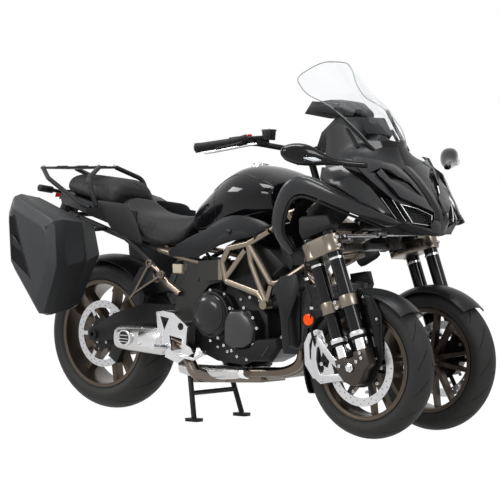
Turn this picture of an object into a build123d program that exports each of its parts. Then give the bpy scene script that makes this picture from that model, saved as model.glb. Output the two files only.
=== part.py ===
from build123d import *
import math
import os

os.makedirs("parts", exist_ok=True)

# Leaning three-wheeler: two steered front wheels, one driven rear wheel, touring body with side cases.
# Millimetres. +X is forward, +Y is left and the floor is Z = 0. X = 0 is the middle of the length.
# It stands on its centre stand: both front tyres on the floor, the rear tyre just clear of it.

# ---- Driving dimensions ----
overall_length = 2149.0      # from the front tyres' front edge to the plate holder
wheelbase = 1510.0
front_axle_x = 800.0
track = 410.0                # between the two front wheel planes
caster = 20.0                # rake of the steering axes, degrees
trail = 74.0
rear_lift = 10.0             # rear tyre above the floor on the centre stand
running_gap = 0.05           # radial clearance of a pin or shaft in its own bore
panel_gap = 1.5              # between body panels that meet

front_tyre_r = 274.5
front_tyre_w = 118.0
front_bead_r = 190.5
front_bead_w = 89.0
rear_tyre_r = 320.0
rear_tyre_w = 190.0
rear_bead_r = 216.0
rear_bead_w = 152.0
flange_h = 12.5              # rim flange above the bead seat
flange_t = 5.0
barrel_t = 8.0

fork_axle_r = 11.0
rear_axle_r = 14.0
rear_axle_bore_r = 9.0       # the rear axle is a tube
front_disc_r = 149.0
rear_disc_r = 141.0
disc_t = 5.0
jaw_gap = 5.0                # between a brake disc and its caliper

# ---- Places that follow from them ----
half_track = track / 2
front_axle_z = front_tyre_r
rear_axle_x = front_axle_x - wheelbase
rear_axle_z = rear_tyre_r + rear_lift
tail_x = front_axle_x + front_tyre_r - overall_length

caster_rad = math.radians(caster)
fork_offset = front_tyre_r * math.sin(caster_rad) - trail * math.cos(caster_rad)
foot_x = front_axle_x - fork_offset * math.cos(caster_rad)
foot_z = front_axle_z - fork_offset * math.sin(caster_rad)
u_dir = (math.cos(caster_rad), 0, math.sin(caster_rad))
w_dir = (-math.sin(caster_rad), 0, math.cos(caster_rad))
# Caster frame: u is forward and square to the steering axes, v is lateral (+Y), w runs up along them.
# Its origin lies level with the front axle, so the axle is at u = fork_offset, w = 0.
caster_plane = Plane(origin=(foot_x, 0, foot_z), x_dir=u_dir, z_dir=w_dir)


def caster_point(u, v, w):
    """A point of the caster frame in the part's own frame."""
    return caster_plane.from_local_coords(Vector(u, v, w))


def caster_side(v):
    """Side-view plane of the caster frame at lateral place v; its normal points right (-Y)."""
    return Plane(origin=caster_point(0, v, 0), x_dir=u_dir, z_dir=(0, -1, 0))


def side_plane(y):
    """Side-view plane at lateral place y: local axes are forward and up, the normal is -Y."""
    return Plane.XZ.offset(-y)


def cross_plane(x):
    """Cross-section plane at x: local axes are left and up, the normal is +X."""
    return Plane.YZ.offset(x)


def outline(plane, points):
    """A flat face through the points."""
    with BuildSketch(plane) as face:
        with BuildLine():
            Polyline(*points, close=True)
        make_face()
    return face.sketch


def plate(plane, points, thickness, mode=Mode.ADD):
    """A flat plate that grows from the plane along its normal."""
    extrude(outline(plane, points), amount=thickness, mode=mode)


def link_outline(plane, first, second, first_r, second_r):
    """The hull of two circles."""
    with BuildSketch(plane) as face:
        with Locations(first):
            Circle(first_r)
        with Locations(second):
            Circle(second_r)
        make_hull()
    return face.sketch


def rod(start, end, radius, bore=0.0, mode=Mode.ADD):
    """A round bar or, with a bore, a sleeve from start to end."""
    run = Vector(*end) - Vector(*start)
    with BuildSketch(Plane(origin=start, z_dir=run)) as ring:
        Circle(radius)
        if bore:
            Circle(bore, mode=Mode.SUBTRACT)
    extrude(ring.sketch, amount=run.length, mode=mode)


def tube(points, radius, bend, bore=0.0):
    """A round tube along straight runs joined by tangent arcs."""
    with BuildLine() as route:
        FilletPolyline(*points, radius=bend)
    with BuildSketch(Plane(origin=route.line @ 0, z_dir=route.line % 0)) as ring:
        Circle(radius)
        if bore:
            Circle(bore, mode=Mode.SUBTRACT)
    sweep(sections=ring.sketch, path=route.line)


def mirrored_y(points, side):
    """The points with their lateral value multiplied by side (+1 or -1)."""
    return [(x, y * side, z) for x, y, z in points]


def finish(piece, name):
    """Label a finished piece and write its STEP file."""
    piece.part.label = name
    export_step(piece.part, f"parts/{name}.step")


# ==== Wheels: made about a local Z axis, then set in place ====

def tyre_body(tyre_r, tyre_w, bead_r, bead_w):
    """A closed tyre ring with a round crown, notched at each bead for the rim flange."""
    shoulder_r = tyre_r - 0.225 * tyre_w
    notch_r = bead_r + flange_h + 1.0
    half, bead = tyre_w / 2, bead_w / 2
    with BuildPart() as body:
        with BuildSketch(Plane.XZ):
            with BuildLine():
                Polyline((notch_r, bead), (bead_r, bead), (bead_r, -bead), (notch_r, -bead))
                ThreePointArc((notch_r, -bead), ((notch_r + shoulder_r) / 2 + 4, -half),
                              (shoulder_r, -half * 0.94))
                ThreePointArc((shoulder_r, -half * 0.94), (tyre_r, 0), (shoulder_r, half * 0.94))
                ThreePointArc((shoulder_r, half * 0.94), ((notch_r + shoulder_r) / 2 + 4, half),
                              (notch_r, bead))
            make_face()
        revolve(axis=Axis.Z)
    return body


def rim_body(bead_r, bead_w, hub_r, hub_half, bore_r, spoke_w, pairs=5):
    """A cast rim: barrel with two flanges, hub, and pairs of spokes that spread like a V."""
    half = bead_w / 2
    inner_r = bead_r - barrel_t
    tip_y = bead_r * 0.2
    spoke_end_r = math.sqrt((bead_r - barrel_t / 2) ** 2 - (tip_y + spoke_w * 0.4) ** 2)
    with BuildPart() as spoke:
        for lean in (-1, 1):
            root = Plane(origin=(hub_r * 0.7, lean * hub_r * 0.28, 0), x_dir=(0, 1, 0), z_dir=(1, 0, 0))
            tip = Plane(origin=(spoke_end_r, lean * tip_y, 0), x_dir=(0, 1, 0), z_dir=(1, 0, 0))
            with BuildSketch(root) as wide:
                Rectangle(spoke_w * 1.15, hub_half * 0.75)
            with BuildSketch(tip) as slim:
                Rectangle(spoke_w * 0.8, half * 0.62)
            loft(sections=[wide.sketch, slim.sketch], ruled=True)
    with BuildPart() as body:
        with BuildSketch(Plane.XZ):
            with BuildLine():
                Polyline(
                    (inner_r + 4, half + flange_t), (bead_r + flange_h, half + flange_t),
                    (bead_r + flange_h, half), (bead_r, half), (bead_r, -half),
                    (bead_r + flange_h, -half), (bead_r + flange_h, -half - flange_t),
                    (inner_r + 4, -half - flange_t), (inner_r, -half * 0.7), (inner_r, half * 0.7),
                    close=True)
            make_face()
        revolve(axis=Axis.Z)
        with BuildSketch(Plane.XY.offset(-hub_half)) as hub:
            Circle(hub_r)
        extrude(hub.sketch, amount=2 * hub_half)
        with PolarLocations(0, pairs):
            add(spoke.part)
        with BuildSketch(Plane.XY.offset(-hub_half)) as bore:
            Circle(bore_r)
        extrude(bore.sketch, amount=2 * hub_half, mode=Mode.SUBTRACT)
    return body


def disc_body(disc_r, band, carrier_r, place, arms=6, holes=24):
    """A drilled brake disc with an open carrier, its inboard face at local height place."""
    with BuildPart() as body:
        with BuildSketch(Plane.XY.offset(place)) as ring:
            Circle(disc_r)
            Circle(disc_r - band, mode=Mode.SUBTRACT)
            with PolarLocations(disc_r - band * 0.3, holes):
                Circle(2.6, mode=Mode.SUBTRACT)
            with PolarLocations(disc_r - band * 0.7, holes, start_angle=180 / holes):
                Circle(2.6, mode=Mode.SUBTRACT)
        extrude(ring.sketch, amount=disc_t)
        with BuildSketch(Plane.XY.offset(place)) as carrier:
            Circle(carrier_r)
            Circle(carrier_r - 12, mode=Mode.SUBTRACT)
            with PolarLocations((carrier_r + disc_r - band) / 2, arms):
                Rectangle(disc_r - band - carrier_r + 8, 16)
            Circle(carrier_r - 12, mode=Mode.SUBTRACT)
        extrude(carrier.sketch, amount=disc_t)
    return body


front_hub_r, front_hub_half = 34.0, 44.0
front_spoke_w, rear_spoke_w = 17.0, 22.0
front_disc_place = 58.0      # inboard face of the front disc, outboard of the wheel plane
front_carrier_r = 78.0
front_band = 32.0
front_tyre_body = tyre_body(front_tyre_r, front_tyre_w, front_bead_r, front_bead_w)
front_rim_body = rim_body(front_bead_r, front_bead_w, front_hub_r, front_hub_half,
                          fork_axle_r + running_gap, front_spoke_w)
front_disc_body = disc_body(front_disc_r, front_band, front_carrier_r, front_disc_place)
# The carrier's collar bolts the disc to the hub's outboard end.
with BuildPart() as front_collar_body:
    with BuildSketch(Plane.XY.offset(front_hub_half)) as collar_ring:
        Circle(front_hub_r)
        Circle(fork_axle_r + running_gap, mode=Mode.SUBTRACT)
    extrude(collar_ring.sketch, amount=front_disc_place - front_hub_half)
    with BuildSketch(Plane.XY.offset(front_disc_place)) as collar_flange:
        Circle(front_carrier_r - 12)
        Circle(fork_axle_r + running_gap, mode=Mode.SUBTRACT)
    extrude(collar_flange.sketch, amount=disc_t)

for side_name, side in (("right", -1), ("left", 1)):
    wheel_plane = Plane(origin=(front_axle_x, side * half_track, front_axle_z),
                        x_dir=(1, 0, 0), z_dir=(0, side, 0))
    with BuildPart(wheel_plane) as front_tyre:
        add(front_tyre_body.part)
    with BuildPart(wheel_plane) as front_rim:
        add(front_rim_body.part)
    with BuildPart(wheel_plane) as front_disc:
        add(front_disc_body.part)
        add(front_collar_body.part)
    finish(front_tyre, f"front_tyre_{side_name}")
    finish(front_rim, f"front_rim_{side_name}")
    finish(front_disc, f"front_disc_{side_name}")

rear_hub_r, rear_hub_half = 44.0, 62.0
rear_disc_place = 72.0       # right of the wheel plane
rear_band = 30.0
rear_carrier_r = 66.0
sprocket_place = 104.0       # left of the wheel plane, inboard face
sprocket_t = 7.0
sprocket_r = 90.0
chain_half_w = 7.0
chain_y = sprocket_place + sprocket_t / 2
rear_plane = Plane(origin=(rear_axle_x, 0, rear_axle_z), x_dir=(1, 0, 0), z_dir=(0, -1, 0))
with BuildPart(rear_plane) as rear_tyre:
    add(tyre_body(rear_tyre_r, rear_tyre_w, rear_bead_r, rear_bead_w).part)
finish(rear_tyre, "rear_tyre")
with BuildPart(rear_plane) as rear_rim:
    add(rim_body(rear_bead_r, rear_bead_w, rear_hub_r, rear_hub_half,
                 rear_axle_r + running_gap, rear_spoke_w).part)
finish(rear_rim, "rear_rim")

with BuildPart() as rear_rotor_body:
    add(disc_body(rear_disc_r, rear_band, rear_carrier_r, rear_disc_place).part)
    with BuildSketch(Plane.XY.offset(rear_hub_half)) as rotor_neck:
        Circle(rear_hub_r)
        Circle(rear_axle_r + running_gap, mode=Mode.SUBTRACT)
    extrude(rotor_neck.sketch, amount=rear_disc_place - rear_hub_half)
    with BuildSketch(Plane.XY.offset(rear_disc_place)) as rotor_flange:
        Circle(rear_carrier_r - 12)
        Circle(rear_axle_r + running_gap, mode=Mode.SUBTRACT)
    extrude(rotor_flange.sketch, amount=disc_t)
    # sprocket carrier and toothed sprocket on the other side
    with BuildSketch(Plane.XY.offset(-sprocket_place)) as drum:
        Circle(58)
        Circle(rear_axle_r + running_gap, mode=Mode.SUBTRACT)
    extrude(drum.sketch, amount=sprocket_place - rear_hub_half)
    with BuildSketch(Plane.XY.offset(-sprocket_place - sprocket_t)) as sprocket:
        Circle(sprocket_r)
        with PolarLocations(sprocket_r + 3, 36):
            Circle(5, mode=Mode.SUBTRACT)
        with PolarLocations(68, 6):
            Circle(9, mode=Mode.SUBTRACT)
        Circle(rear_axle_r + running_gap, mode=Mode.SUBTRACT)
    extrude(sprocket.sketch, amount=sprocket_t)
with BuildPart(rear_plane) as rear_disc:
    add(rear_rotor_body.part)
finish(rear_disc, "rear_disc_and_sprocket")

# ==== Front forks: two tubes outboard of each wheel, tied by cast clamps ====

tube_rear_u, tube_front_u = -9.0, 84.0
tube_v = -half_track - 105.0           # fork tube plane, right side
outer_r, slider_r = 27.0, 20.5
outer_low_w, outer_high_w = 105.0, 512.0
slider_low_w = 22.0
upper_clamp_low, upper_clamp_high = 432.0, 500.0
lower_clamp_low, lower_clamp_high = 218.0, 262.0
stem_r = 16.0
stem_top_w = 596.0
neck_low_w, neck_high_w = 432.0, 450.0
sleeve_low_w, sleeve_high_w = 455.0, 580.0
sleeve_r = 30.0
tie_u = 90.0                           # steering arms: forward reach
tie_v = 25.0                           # and sideways reach of each tie rod pin
pin_r = 5.0
rod_eye_t = 12.0
tie_w = 492.0                          # middle of the tie rod eyes
holder_half = 24.0

with BuildPart() as fork_tubes_right:
    for u in (tube_rear_u, tube_front_u):
        rod(caster_point(u, tube_v, outer_low_w + 18), caster_point(u, tube_v, outer_high_w), outer_r)
        rod(caster_point(u, tube_v, outer_low_w), caster_point(u, tube_v, outer_low_w + 18), outer_r + 3)
        rod(caster_point(u, tube_v, outer_high_w), caster_point(u, tube_v, outer_high_w + 10), 17)
        rod(caster_point(u, tube_v, slider_low_w), caster_point(u, tube_v, outer_low_w), slider_r)

with BuildPart() as fork_clamps_right:
    # upper clamp round both tubes, with a neck that carries the steering stem
    tubes_hull = link_outline(caster_plane.offset(upper_clamp_low), (tube_rear_u, tube_v),
                              (tube_front_u, tube_v), 35, 35)
    extrude(tubes_hull, amount=upper_clamp_high - upper_clamp_low)
    for u in (tube_rear_u, tube_front_u):
        neck = link_outline(caster_plane.offset(neck_low_w), (u, tube_v), (0, -half_track), 30, 30)
        extrude(neck, amount=neck_high_w - neck_low_w)
    rod(caster_point(0, -half_track, neck_low_w), caster_point(0, -half_track, stem_top_w), stem_r)
    rod(caster_point(0, -half_track, sleeve_high_w + 2), caster_point(0, -half_track, stem_top_w), 23)
    # steering arm for the tie rod
    arm = link_outline(caster_plane.offset(tie_w - rod_eye_t / 2 - 12), (tube_front_u, tube_v + 30),
                       (tie_u, -half_track - tie_v), 14, 11)
    extrude(arm, amount=10)
    rod(caster_point(tie_u, -half_track - tie_v, tie_w - rod_eye_t / 2 - 4),
        caster_point(tie_u, -half_track - tie_v, tie_w + rod_eye_t / 2 + 2), pin_r)
    # lower clamp: two collars and a waist
    for u in (tube_rear_u, tube_front_u):
        rod(caster_point(u, tube_v, lower_clamp_low), caster_point(u, tube_v, lower_clamp_high), 35)
    with BuildSketch(caster_plane.offset(lower_clamp_low + 8)) as waist:
        with Locations(((tube_rear_u + tube_front_u) / 2, tube_v)):
            Rectangle(tube_front_u - tube_rear_u, 30)
    extrude(waist.sketch, amount=lower_clamp_high - lower_clamp_low - 16)
    for u in (tube_rear_u, tube_front_u):
        rod(caster_point(u, tube_v, lower_clamp_low - 1), caster_point(u, tube_v, outer_high_w),
            outer_r, mode=Mode.SUBTRACT)
    # axle holder at the feet of both sliders
    # u, w of its side outline
    holder_outline = [
        (-36, 46), (-38, 0), (-22, -40), (8, -66), (36, -70), (58, -52), (84, -26), (112, -14),
        (112, 50), (58, 50), (52, 34), (20, 34), (14, 46)]
    plate(caster_side(tube_v + holder_half), holder_outline, 2 * holder_half)
    for u in (tube_rear_u, tube_front_u):
        rod(caster_point(u, tube_v, slider_low_w), caster_point(u, tube_v, slider_low_w + 60),
            slider_r, mode=Mode.SUBTRACT)
    rod((front_axle_x, tube_v + holder_half, front_axle_z),
        (front_axle_x, -half_track + front_hub_half + 8, front_axle_z), fork_axle_r)
    rod((front_axle_x, -half_track + front_hub_half + 1, front_axle_z),
        (front_axle_x, -half_track + front_hub_half + 8, front_axle_z), 18)
    rod((front_axle_x, tube_v - holder_half, front_axle_z),
        (front_axle_x, tube_v - holder_half - 6, front_axle_z), 19)

# brake caliper on a C-shaped carrier behind the axle holder
caliper_in, caliper_out = -half_track - 47.0, -half_track - 86.0
disc_in = -half_track - front_disc_place
with BuildPart() as front_caliper_right:
    # u, w of the carrier: a C that is open towards the fork
    carrier_outline = [
        (-38, 40), (-62, 74), (-84, 128), (-96, 164), (-128, 160), (-150, 120), (-164, 82), (-172, 36),
        (-166, 10), (-150, -12), (-112, -18), (-70, -26), (-38, -34), (-38, -6), (-70, 4), (-118, 14),
        (-138, 24), (-142, 50), (-138, 82), (-122, 120), (-112, 126), (-104, 112), (-86, 66), (-60, 24),
        (-38, 4)]
    plate(caster_side(tube_v + 12), carrier_outline, 10)
    with BuildSketch(Plane(origin=(front_axle_x, caliper_in, front_axle_z), x_dir=(1, 0, 0),
                           z_dir=(0, -1, 0))) as jaw:
        with Locations(Location((-136, 42, 0), (0, 0, -18))):
            Rectangle(50, 98)
    extrude(jaw.sketch, amount=caliper_in - caliper_out)
    with BuildSketch(Plane(origin=(front_axle_x, disc_in + jaw_gap, front_axle_z), x_dir=(1, 0, 0),
                           z_dir=(0, -1, 0))) as slot:
        Circle(front_disc_r + jaw_gap)
    extrude(slot.sketch, amount=disc_t + 2 * jaw_gap, mode=Mode.SUBTRACT)

# mudguard: a crowned band round the tyre with a side stay down to the axle holder
guard_gap = 14.0
guard_t = 4.0
guard_half = front_tyre_w / 2 + 7


def mudguard(wheel_centre, inner_r, half, from_angle, arc):
    """A crowned band round a tyre, from an angle over the forward direction and on to the rear."""
    start = math.radians(from_angle)
    start_plane = Plane(origin=wheel_centre, x_dir=(math.cos(start), 0, math.sin(start)),
                        z_dir=(math.sin(start), 0, -math.cos(start)))
    edge_r = inner_r - 24
    with BuildSketch(start_plane) as guard:
        with BuildLine():
            ThreePointArc((edge_r, -half), (inner_r, 0), (edge_r, half))
            Line((edge_r, half), (edge_r + guard_t, half + guard_t))
            ThreePointArc((edge_r + guard_t, half + guard_t), (inner_r + guard_t, 0),
                          (edge_r + guard_t, -half - guard_t))
            Line((edge_r + guard_t, -half - guard_t), (edge_r, -half))
        make_face()
    revolve(guard.sketch, axis=Axis(wheel_centre, (0, -1, 0)), revolution_arc=arc)


with BuildPart() as front_fender_right:
    mudguard((front_axle_x, -half_track, front_axle_z), front_tyre_r + guard_gap, guard_half, 46, 158)
    # side stay: x, z
    stay_outline = [(786, 566), (856, 546), (902, 470), (906, 330), (896, 276), (868, 292), (846, 350),
                    (812, 440)]
    plate(side_plane(-half_track - guard_half - 2.5), stay_outline, guard_t)

fork_pieces = [
    ("fork_tubes", fork_tubes_right), ("fork_clamps", fork_clamps_right),
    ("front_caliper", front_caliper_right), ("front_fender", front_fender_right)]
for name, right_piece in fork_pieces:
    finish(right_piece, f"{name}_right")
    with BuildPart() as left_piece:
        mirror(right_piece.part, about=Plane.XZ)
    finish(left_piece, f"{name}_left")

# ==== Leaning beams and steering links ====

beam_ws = (475.0, 560.0)               # lower and upper beam
beam_half_h, beam_half_u = 13.0, 11.0
boss_r = 16.0
knuckle_v = half_track - 52
with BuildPart() as lean_arms:
    for side in (-1, 1):
        rod(caster_point(0, side * half_track, sleeve_low_w),
            caster_point(0, side * half_track, sleeve_high_w), sleeve_r)
    for w in beam_ws:
        with BuildSketch(caster_plane.offset(w - beam_half_h)) as beam:
            Rectangle(2 * beam_half_u, 2 * half_track - 2 * sleeve_r + 8)
        extrude(beam.sketch, amount=2 * beam_half_h)
        for v in (-knuckle_v, 0, knuckle_v):
            rod(caster_point(-22, v, w), caster_point(22, v, w), boss_r)
    for side in (-1, 1):
        rod(caster_point(0, side * half_track, sleeve_low_w),
            caster_point(0, side * half_track, sleeve_high_w), stem_r + running_gap, mode=Mode.SUBTRACT)
finish(lean_arms, "lean_arms")

column_u = -130.0
column_r = 14.0
housing_low_w, housing_high_w = 600.0, 790.0
link_v = -60.0                         # drag link, right of the centre line
shelf_low_w = 528.0
relay_pin_r = 8.0
relay_low_w, relay_high_w = 500.0, 522.0
drag_low_w = relay_low_w + 11
drag_eye_t = 10.0
pitman_low_w = drag_low_w + drag_eye_t + 7
relay_hub_r = 15.0
post_front_u, post_notch_u = -22.0, -38.0
with BuildPart() as front_frame:
    # centre post behind the beams, with the steering column's housing on top
    post_outline = [(-66, 444), (post_front_u, 444), (post_front_u, 490), (post_notch_u, 494),
                    (post_notch_u, shelf_low_w), (post_front_u, shelf_low_w),
                    (post_front_u, shelf_low_w + 57), (-60, shelf_low_w + 92), (-104, housing_high_w + 2),
                    (-128, housing_high_w + 2), (-128, housing_low_w), (-80, housing_low_w - 40)]
    plate(caster_side(22), post_outline, 44)
    rod(caster_point(column_u, 0, housing_low_w), caster_point(column_u, 0, housing_high_w), 26)
    with BuildSketch(caster_plane.offset(shelf_low_w)) as shelf:
        with Locations((-6, 0)):
            Rectangle(60, 36)
    extrude(shelf.sketch, amount=10)
    rod(caster_point(0, 0, shelf_low_w), caster_point(0, 0, relay_low_w - 1), relay_pin_r)
    rod(caster_point(0, 0, relay_low_w - 1), caster_point(0, 0, relay_low_w - 5), 12)
    for side in (-1, 1):
        tube(mirrored_y([(421, 120, 640), (500, 90, 668), (575, 12, 686)], side), 14, 60)
        tube(mirrored_y([(303, 192, 776), (352, 150, 842), (420, 16, 880)], side), 13, 60)
        tube(mirrored_y([(421, 120, 640), (440, 118, 740), (352, 150, 842)], side), 11, 50)
    rod(caster_point(column_u, 0, housing_low_w - 40), caster_point(column_u, 0, housing_high_w + 2),
        column_r + running_gap, mode=Mode.SUBTRACT)

with BuildPart() as relay_arm:
    rod(caster_point(0, 0, relay_low_w), caster_point(0, 0, relay_high_w), relay_hub_r)
    fan = outline(caster_plane.offset(relay_low_w), [
        (0, -relay_hub_r), (0, relay_hub_r), (tie_u, tie_v + 11), (tie_u + 11, tie_v + 8), (tie_u + 11, -tie_v - 8),
        (tie_u, -tie_v - 11)])
    extrude(fan, amount=9)
    reach = link_outline(caster_plane.offset(relay_low_w), (0, 0), (0, link_v), relay_hub_r - 1, 12)
    extrude(reach, amount=9)
    for v in (-tie_v, tie_v):
        rod(caster_point(tie_u, v, relay_low_w + 4), caster_point(tie_u, v, tie_w - rod_eye_t / 2 - 2),
            pin_r)
    rod(caster_point(0, link_v, relay_low_w + 4), caster_point(0, link_v, relay_low_w + 24), pin_r)
    rod(caster_point(0, 0, relay_low_w), caster_point(0, 0, relay_high_w), relay_pin_r + running_gap,
        mode=Mode.SUBTRACT)
finish(relay_arm, "relay_arm")


def link_rod(start_uv, end_uv, low_w, eye_t):
    """A rod with an eye at each end, flat in the caster frame."""
    for point in (start_uv, end_uv):
        rod(caster_point(*point, low_w), caster_point(*point, low_w + eye_t), 10)
    rod(caster_point(*start_uv, low_w + eye_t / 2), caster_point(*end_uv, low_w + eye_t / 2),
        eye_t / 2 - 0.5)
    for point in (start_uv, end_uv):
        rod(caster_point(*point, low_w), caster_point(*point, low_w + eye_t), pin_r + running_gap,
            mode=Mode.SUBTRACT)


for side_name, side in (("right", -1), ("left", 1)):
    with BuildPart() as tie_rod:
        link_rod((tie_u, side * tie_v), (tie_u, side * (half_track + tie_v)), tie_w - rod_eye_t / 2,
                 rod_eye_t)
    finish(tie_rod, f"tie_rod_{side_name}")
with BuildPart() as drag_link:
    link_rod((column_u, link_v), (0, link_v), drag_low_w, drag_eye_t)
finish(drag_link, "drag_link")

# ==== Handlebar with its column, and the hand controls ====

bar_r = 11.0
grip_end = (155.0, -442.0, 1098.0)
grip_inner = (262.0, -310.0, 1124.0)
bar_root = (350.0, -110.0, 1092.0)
with BuildPart() as handlebar:
    rod(caster_point(column_u, 0, pitman_low_w), caster_point(column_u, 0, 890), column_r)
    pitman = link_outline(caster_plane.offset(pitman_low_w), (column_u, 0), (column_u, link_v), 21, 12)
    extrude(pitman, amount=11)
    rod(caster_point(column_u, link_v, pitman_low_w + 2), caster_point(column_u, link_v,
        pitman_low_w - 18), pin_r)
    with BuildSketch(caster_plane.offset(872)) as yoke:
        with Locations((column_u + 6, 0)):
            Rectangle(62, 130)
    extrude(yoke.sketch, amount=20)
    for v in (-44, 44):
        rod(caster_point(column_u + 10, v, 884), caster_point(column_u + 10, v, 936), 18)
    bar_left = [(x, -y, z) for x, y, z in (bar_root, grip_inner, grip_end)]
    tube([grip_end, grip_inner, bar_root, *bar_left], bar_r, 60)
finish(handlebar, "handlebar")

bar_run = Vector(*grip_inner) - Vector(*grip_end)


def on_bar(share, back=0.0, up=0.0):
    """A point along the straight grip run: share 0 is the end, 1 the inner bend."""
    point = Vector(*grip_end) + bar_run * share
    return (point.X + back, point.Y, point.Z + up)


with BuildPart() as hand_controls_right:
    rod(on_bar(0.0), on_bar(0.68), 17)
    rod(on_bar(-0.10), on_bar(0.0), 19)
    rod(on_bar(0.70), on_bar(0.92), 21)
    rod(on_bar(0.74, 20, 6), on_bar(0.88, 46, 16), 13)
    # reservoir on a stalk
    rod(on_bar(0.9, 10, 12), (352, -262, 1140), 6)
    rod((352, -262, 1128), (356, -262, 1164), 24)
    # lever in front of the grip
    tube([on_bar(0.86, 34, 2), on_bar(0.6, 62, -4), on_bar(0.08, 66, -8)], 6, 90)
    add(handlebar.part, mode=Mode.SUBTRACT)
with BuildPart() as hand_controls:
    add(hand_controls_right.part)
    mirror(hand_controls_right.part, about=Plane.XZ)
finish(hand_controls, "hand_controls")

# ==== Engine ====

front_sprocket = (-95.0, 430.0)        # x, z of the output sprocket
front_sprocket_r = 36.0

with BuildPart() as engine:
    # x, z of the crankcase; then the inclined cylinders and the head
    crankcase = [(-150, 330), (-160, 470), (-110, 550), (30, 585), (150, 520), (232, 440), (240, 320),
                 (170, 262), (113, 238), (-27, 250), (-110, 280)]
    cylinders = [(20, 570), (215, 462), (290, 590), (130, 682)]
    head = [(118, 676), (296, 574), (338, 640), (262, 700), (150, 745)]
    for points, half in ((crankcase, 125), (cylinders, 128), (head, 150)):
        plate(side_plane(half), points, 2 * half)
    fillet(engine.edges().filter_by(Axis.Y).group_by(Axis.Z)[0], radius=12)
    # cooling and stiffening ribs under the sump
    for x in (-20, 20, 60, 100):
        plate(cross_plane(x), [(-70, 262), (70, 262), (60, 226), (-60, 226)], 6)
    # well for the output sprocket and the chain, with the sprocket and its cover
    rod((front_sprocket[0], chain_y - chain_half_w - 6, front_sprocket[1]),
        (front_sprocket[0], 130, front_sprocket[1]), 60, mode=Mode.SUBTRACT)
    plate(side_plane(130), [(-170, 362), (-95, 370), (-95, 490), (-170, 498)],
          130 - chain_y + chain_half_w + 6, mode=Mode.SUBTRACT)
    rod((front_sprocket[0], 60, front_sprocket[1]),
        (front_sprocket[0], chain_y + sprocket_t / 2, front_sprocket[1]), front_sprocket_r - 0.5)
    plate(side_plane(140), [(-140, 350), (-20, 350), (-10, 500), (-130, 510)], 140 - 119)
    # round clutch cover, polygonal crank cover and generator cover
    rod((-10, -120, 440), (-10, -190, 440), 92)
    rod((-10, -190, 440), (-10, -206, 440), 78)
    rod((-10, -206, 440), (-10, -212, 440), 34)
    crank_cover = [(70, 330), (70, 430), (110, 462), (190, 458), (222, 400), (210, 330), (150, 306)]
    plate(side_plane(-120), crank_cover, 62)
    plate(side_plane(-180), [(x * 0.82 + 26, z * 0.82 + 70) for x, z in crank_cover], 10)
    rod((140, 120, 385), (140, 186, 385), 78)
    rod((140, 186, 385), (140, 196, 385), 60)
    # oil filter and pump at the front
    rod((240, -40, 340), (306, -40, 318), 34)
    # valve cover ridge and three plug wells
    plate(side_plane(60), [(170, 740), (262, 698), (275, 715), (185, 762)], 120)
finish(engine, "engine")

muffler_y = -190.0
with BuildPart() as exhaust:
    # three header pipes, a collector box under the engine and the short link pipe to the muffler
    for y in (-78, 0, 78):
        tube([(319, y, 606), (384, y, 563), (392, y * 0.9, 380), (360, y * 0.6 - 20, 224),
              (180, y * 0.45 - 40, 196)], 19, 45)
    collector = outline(cross_plane(190), [(-112, 172), (40, 172), (48, 222), (-118, 226)])
    box_end = outline(cross_plane(-190), [(-96, 152), (96, 152), (100, 214), (-100, 214)])
    loft(sections=[collector, box_end], ruled=True)
    tube([(0, -80, 186), (-40, -150, 186), (-90, muffler_y, 200), (-150, muffler_y, 300),
          (-225, muffler_y, 322)], 24, 24)
    # muffler: oval can with a slash-cut outlet and a recessed mouth
    muffler_axis = Plane(origin=(-205, muffler_y, 322), x_dir=(0, 1, 0), z_dir=(-1, 0, 0.02))
    with BuildSketch(muffler_axis) as can_front:
        Ellipse(20, 30)
    with BuildSketch(muffler_axis.offset(60)) as can_wide:
        Ellipse(41, 54)
    with BuildSketch(muffler_axis.offset(300)) as can_rear:
        Ellipse(36, 46)
    loft(sections=[can_front.sketch, can_wide.sketch], ruled=True)
    loft(sections=[can_wide.sketch, can_rear.sketch], ruled=True)
    plate(side_plane(-120), [(-560, 240), (-560, 420), (-514, 420), (-418, 240)], 120,
          mode=Mode.SUBTRACT)
    rod((-440, muffler_y, 327), (-560, muffler_y, 331), 26, mode=Mode.SUBTRACT)
finish(exhaust, "exhaust")

# ==== Frame ====

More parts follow.
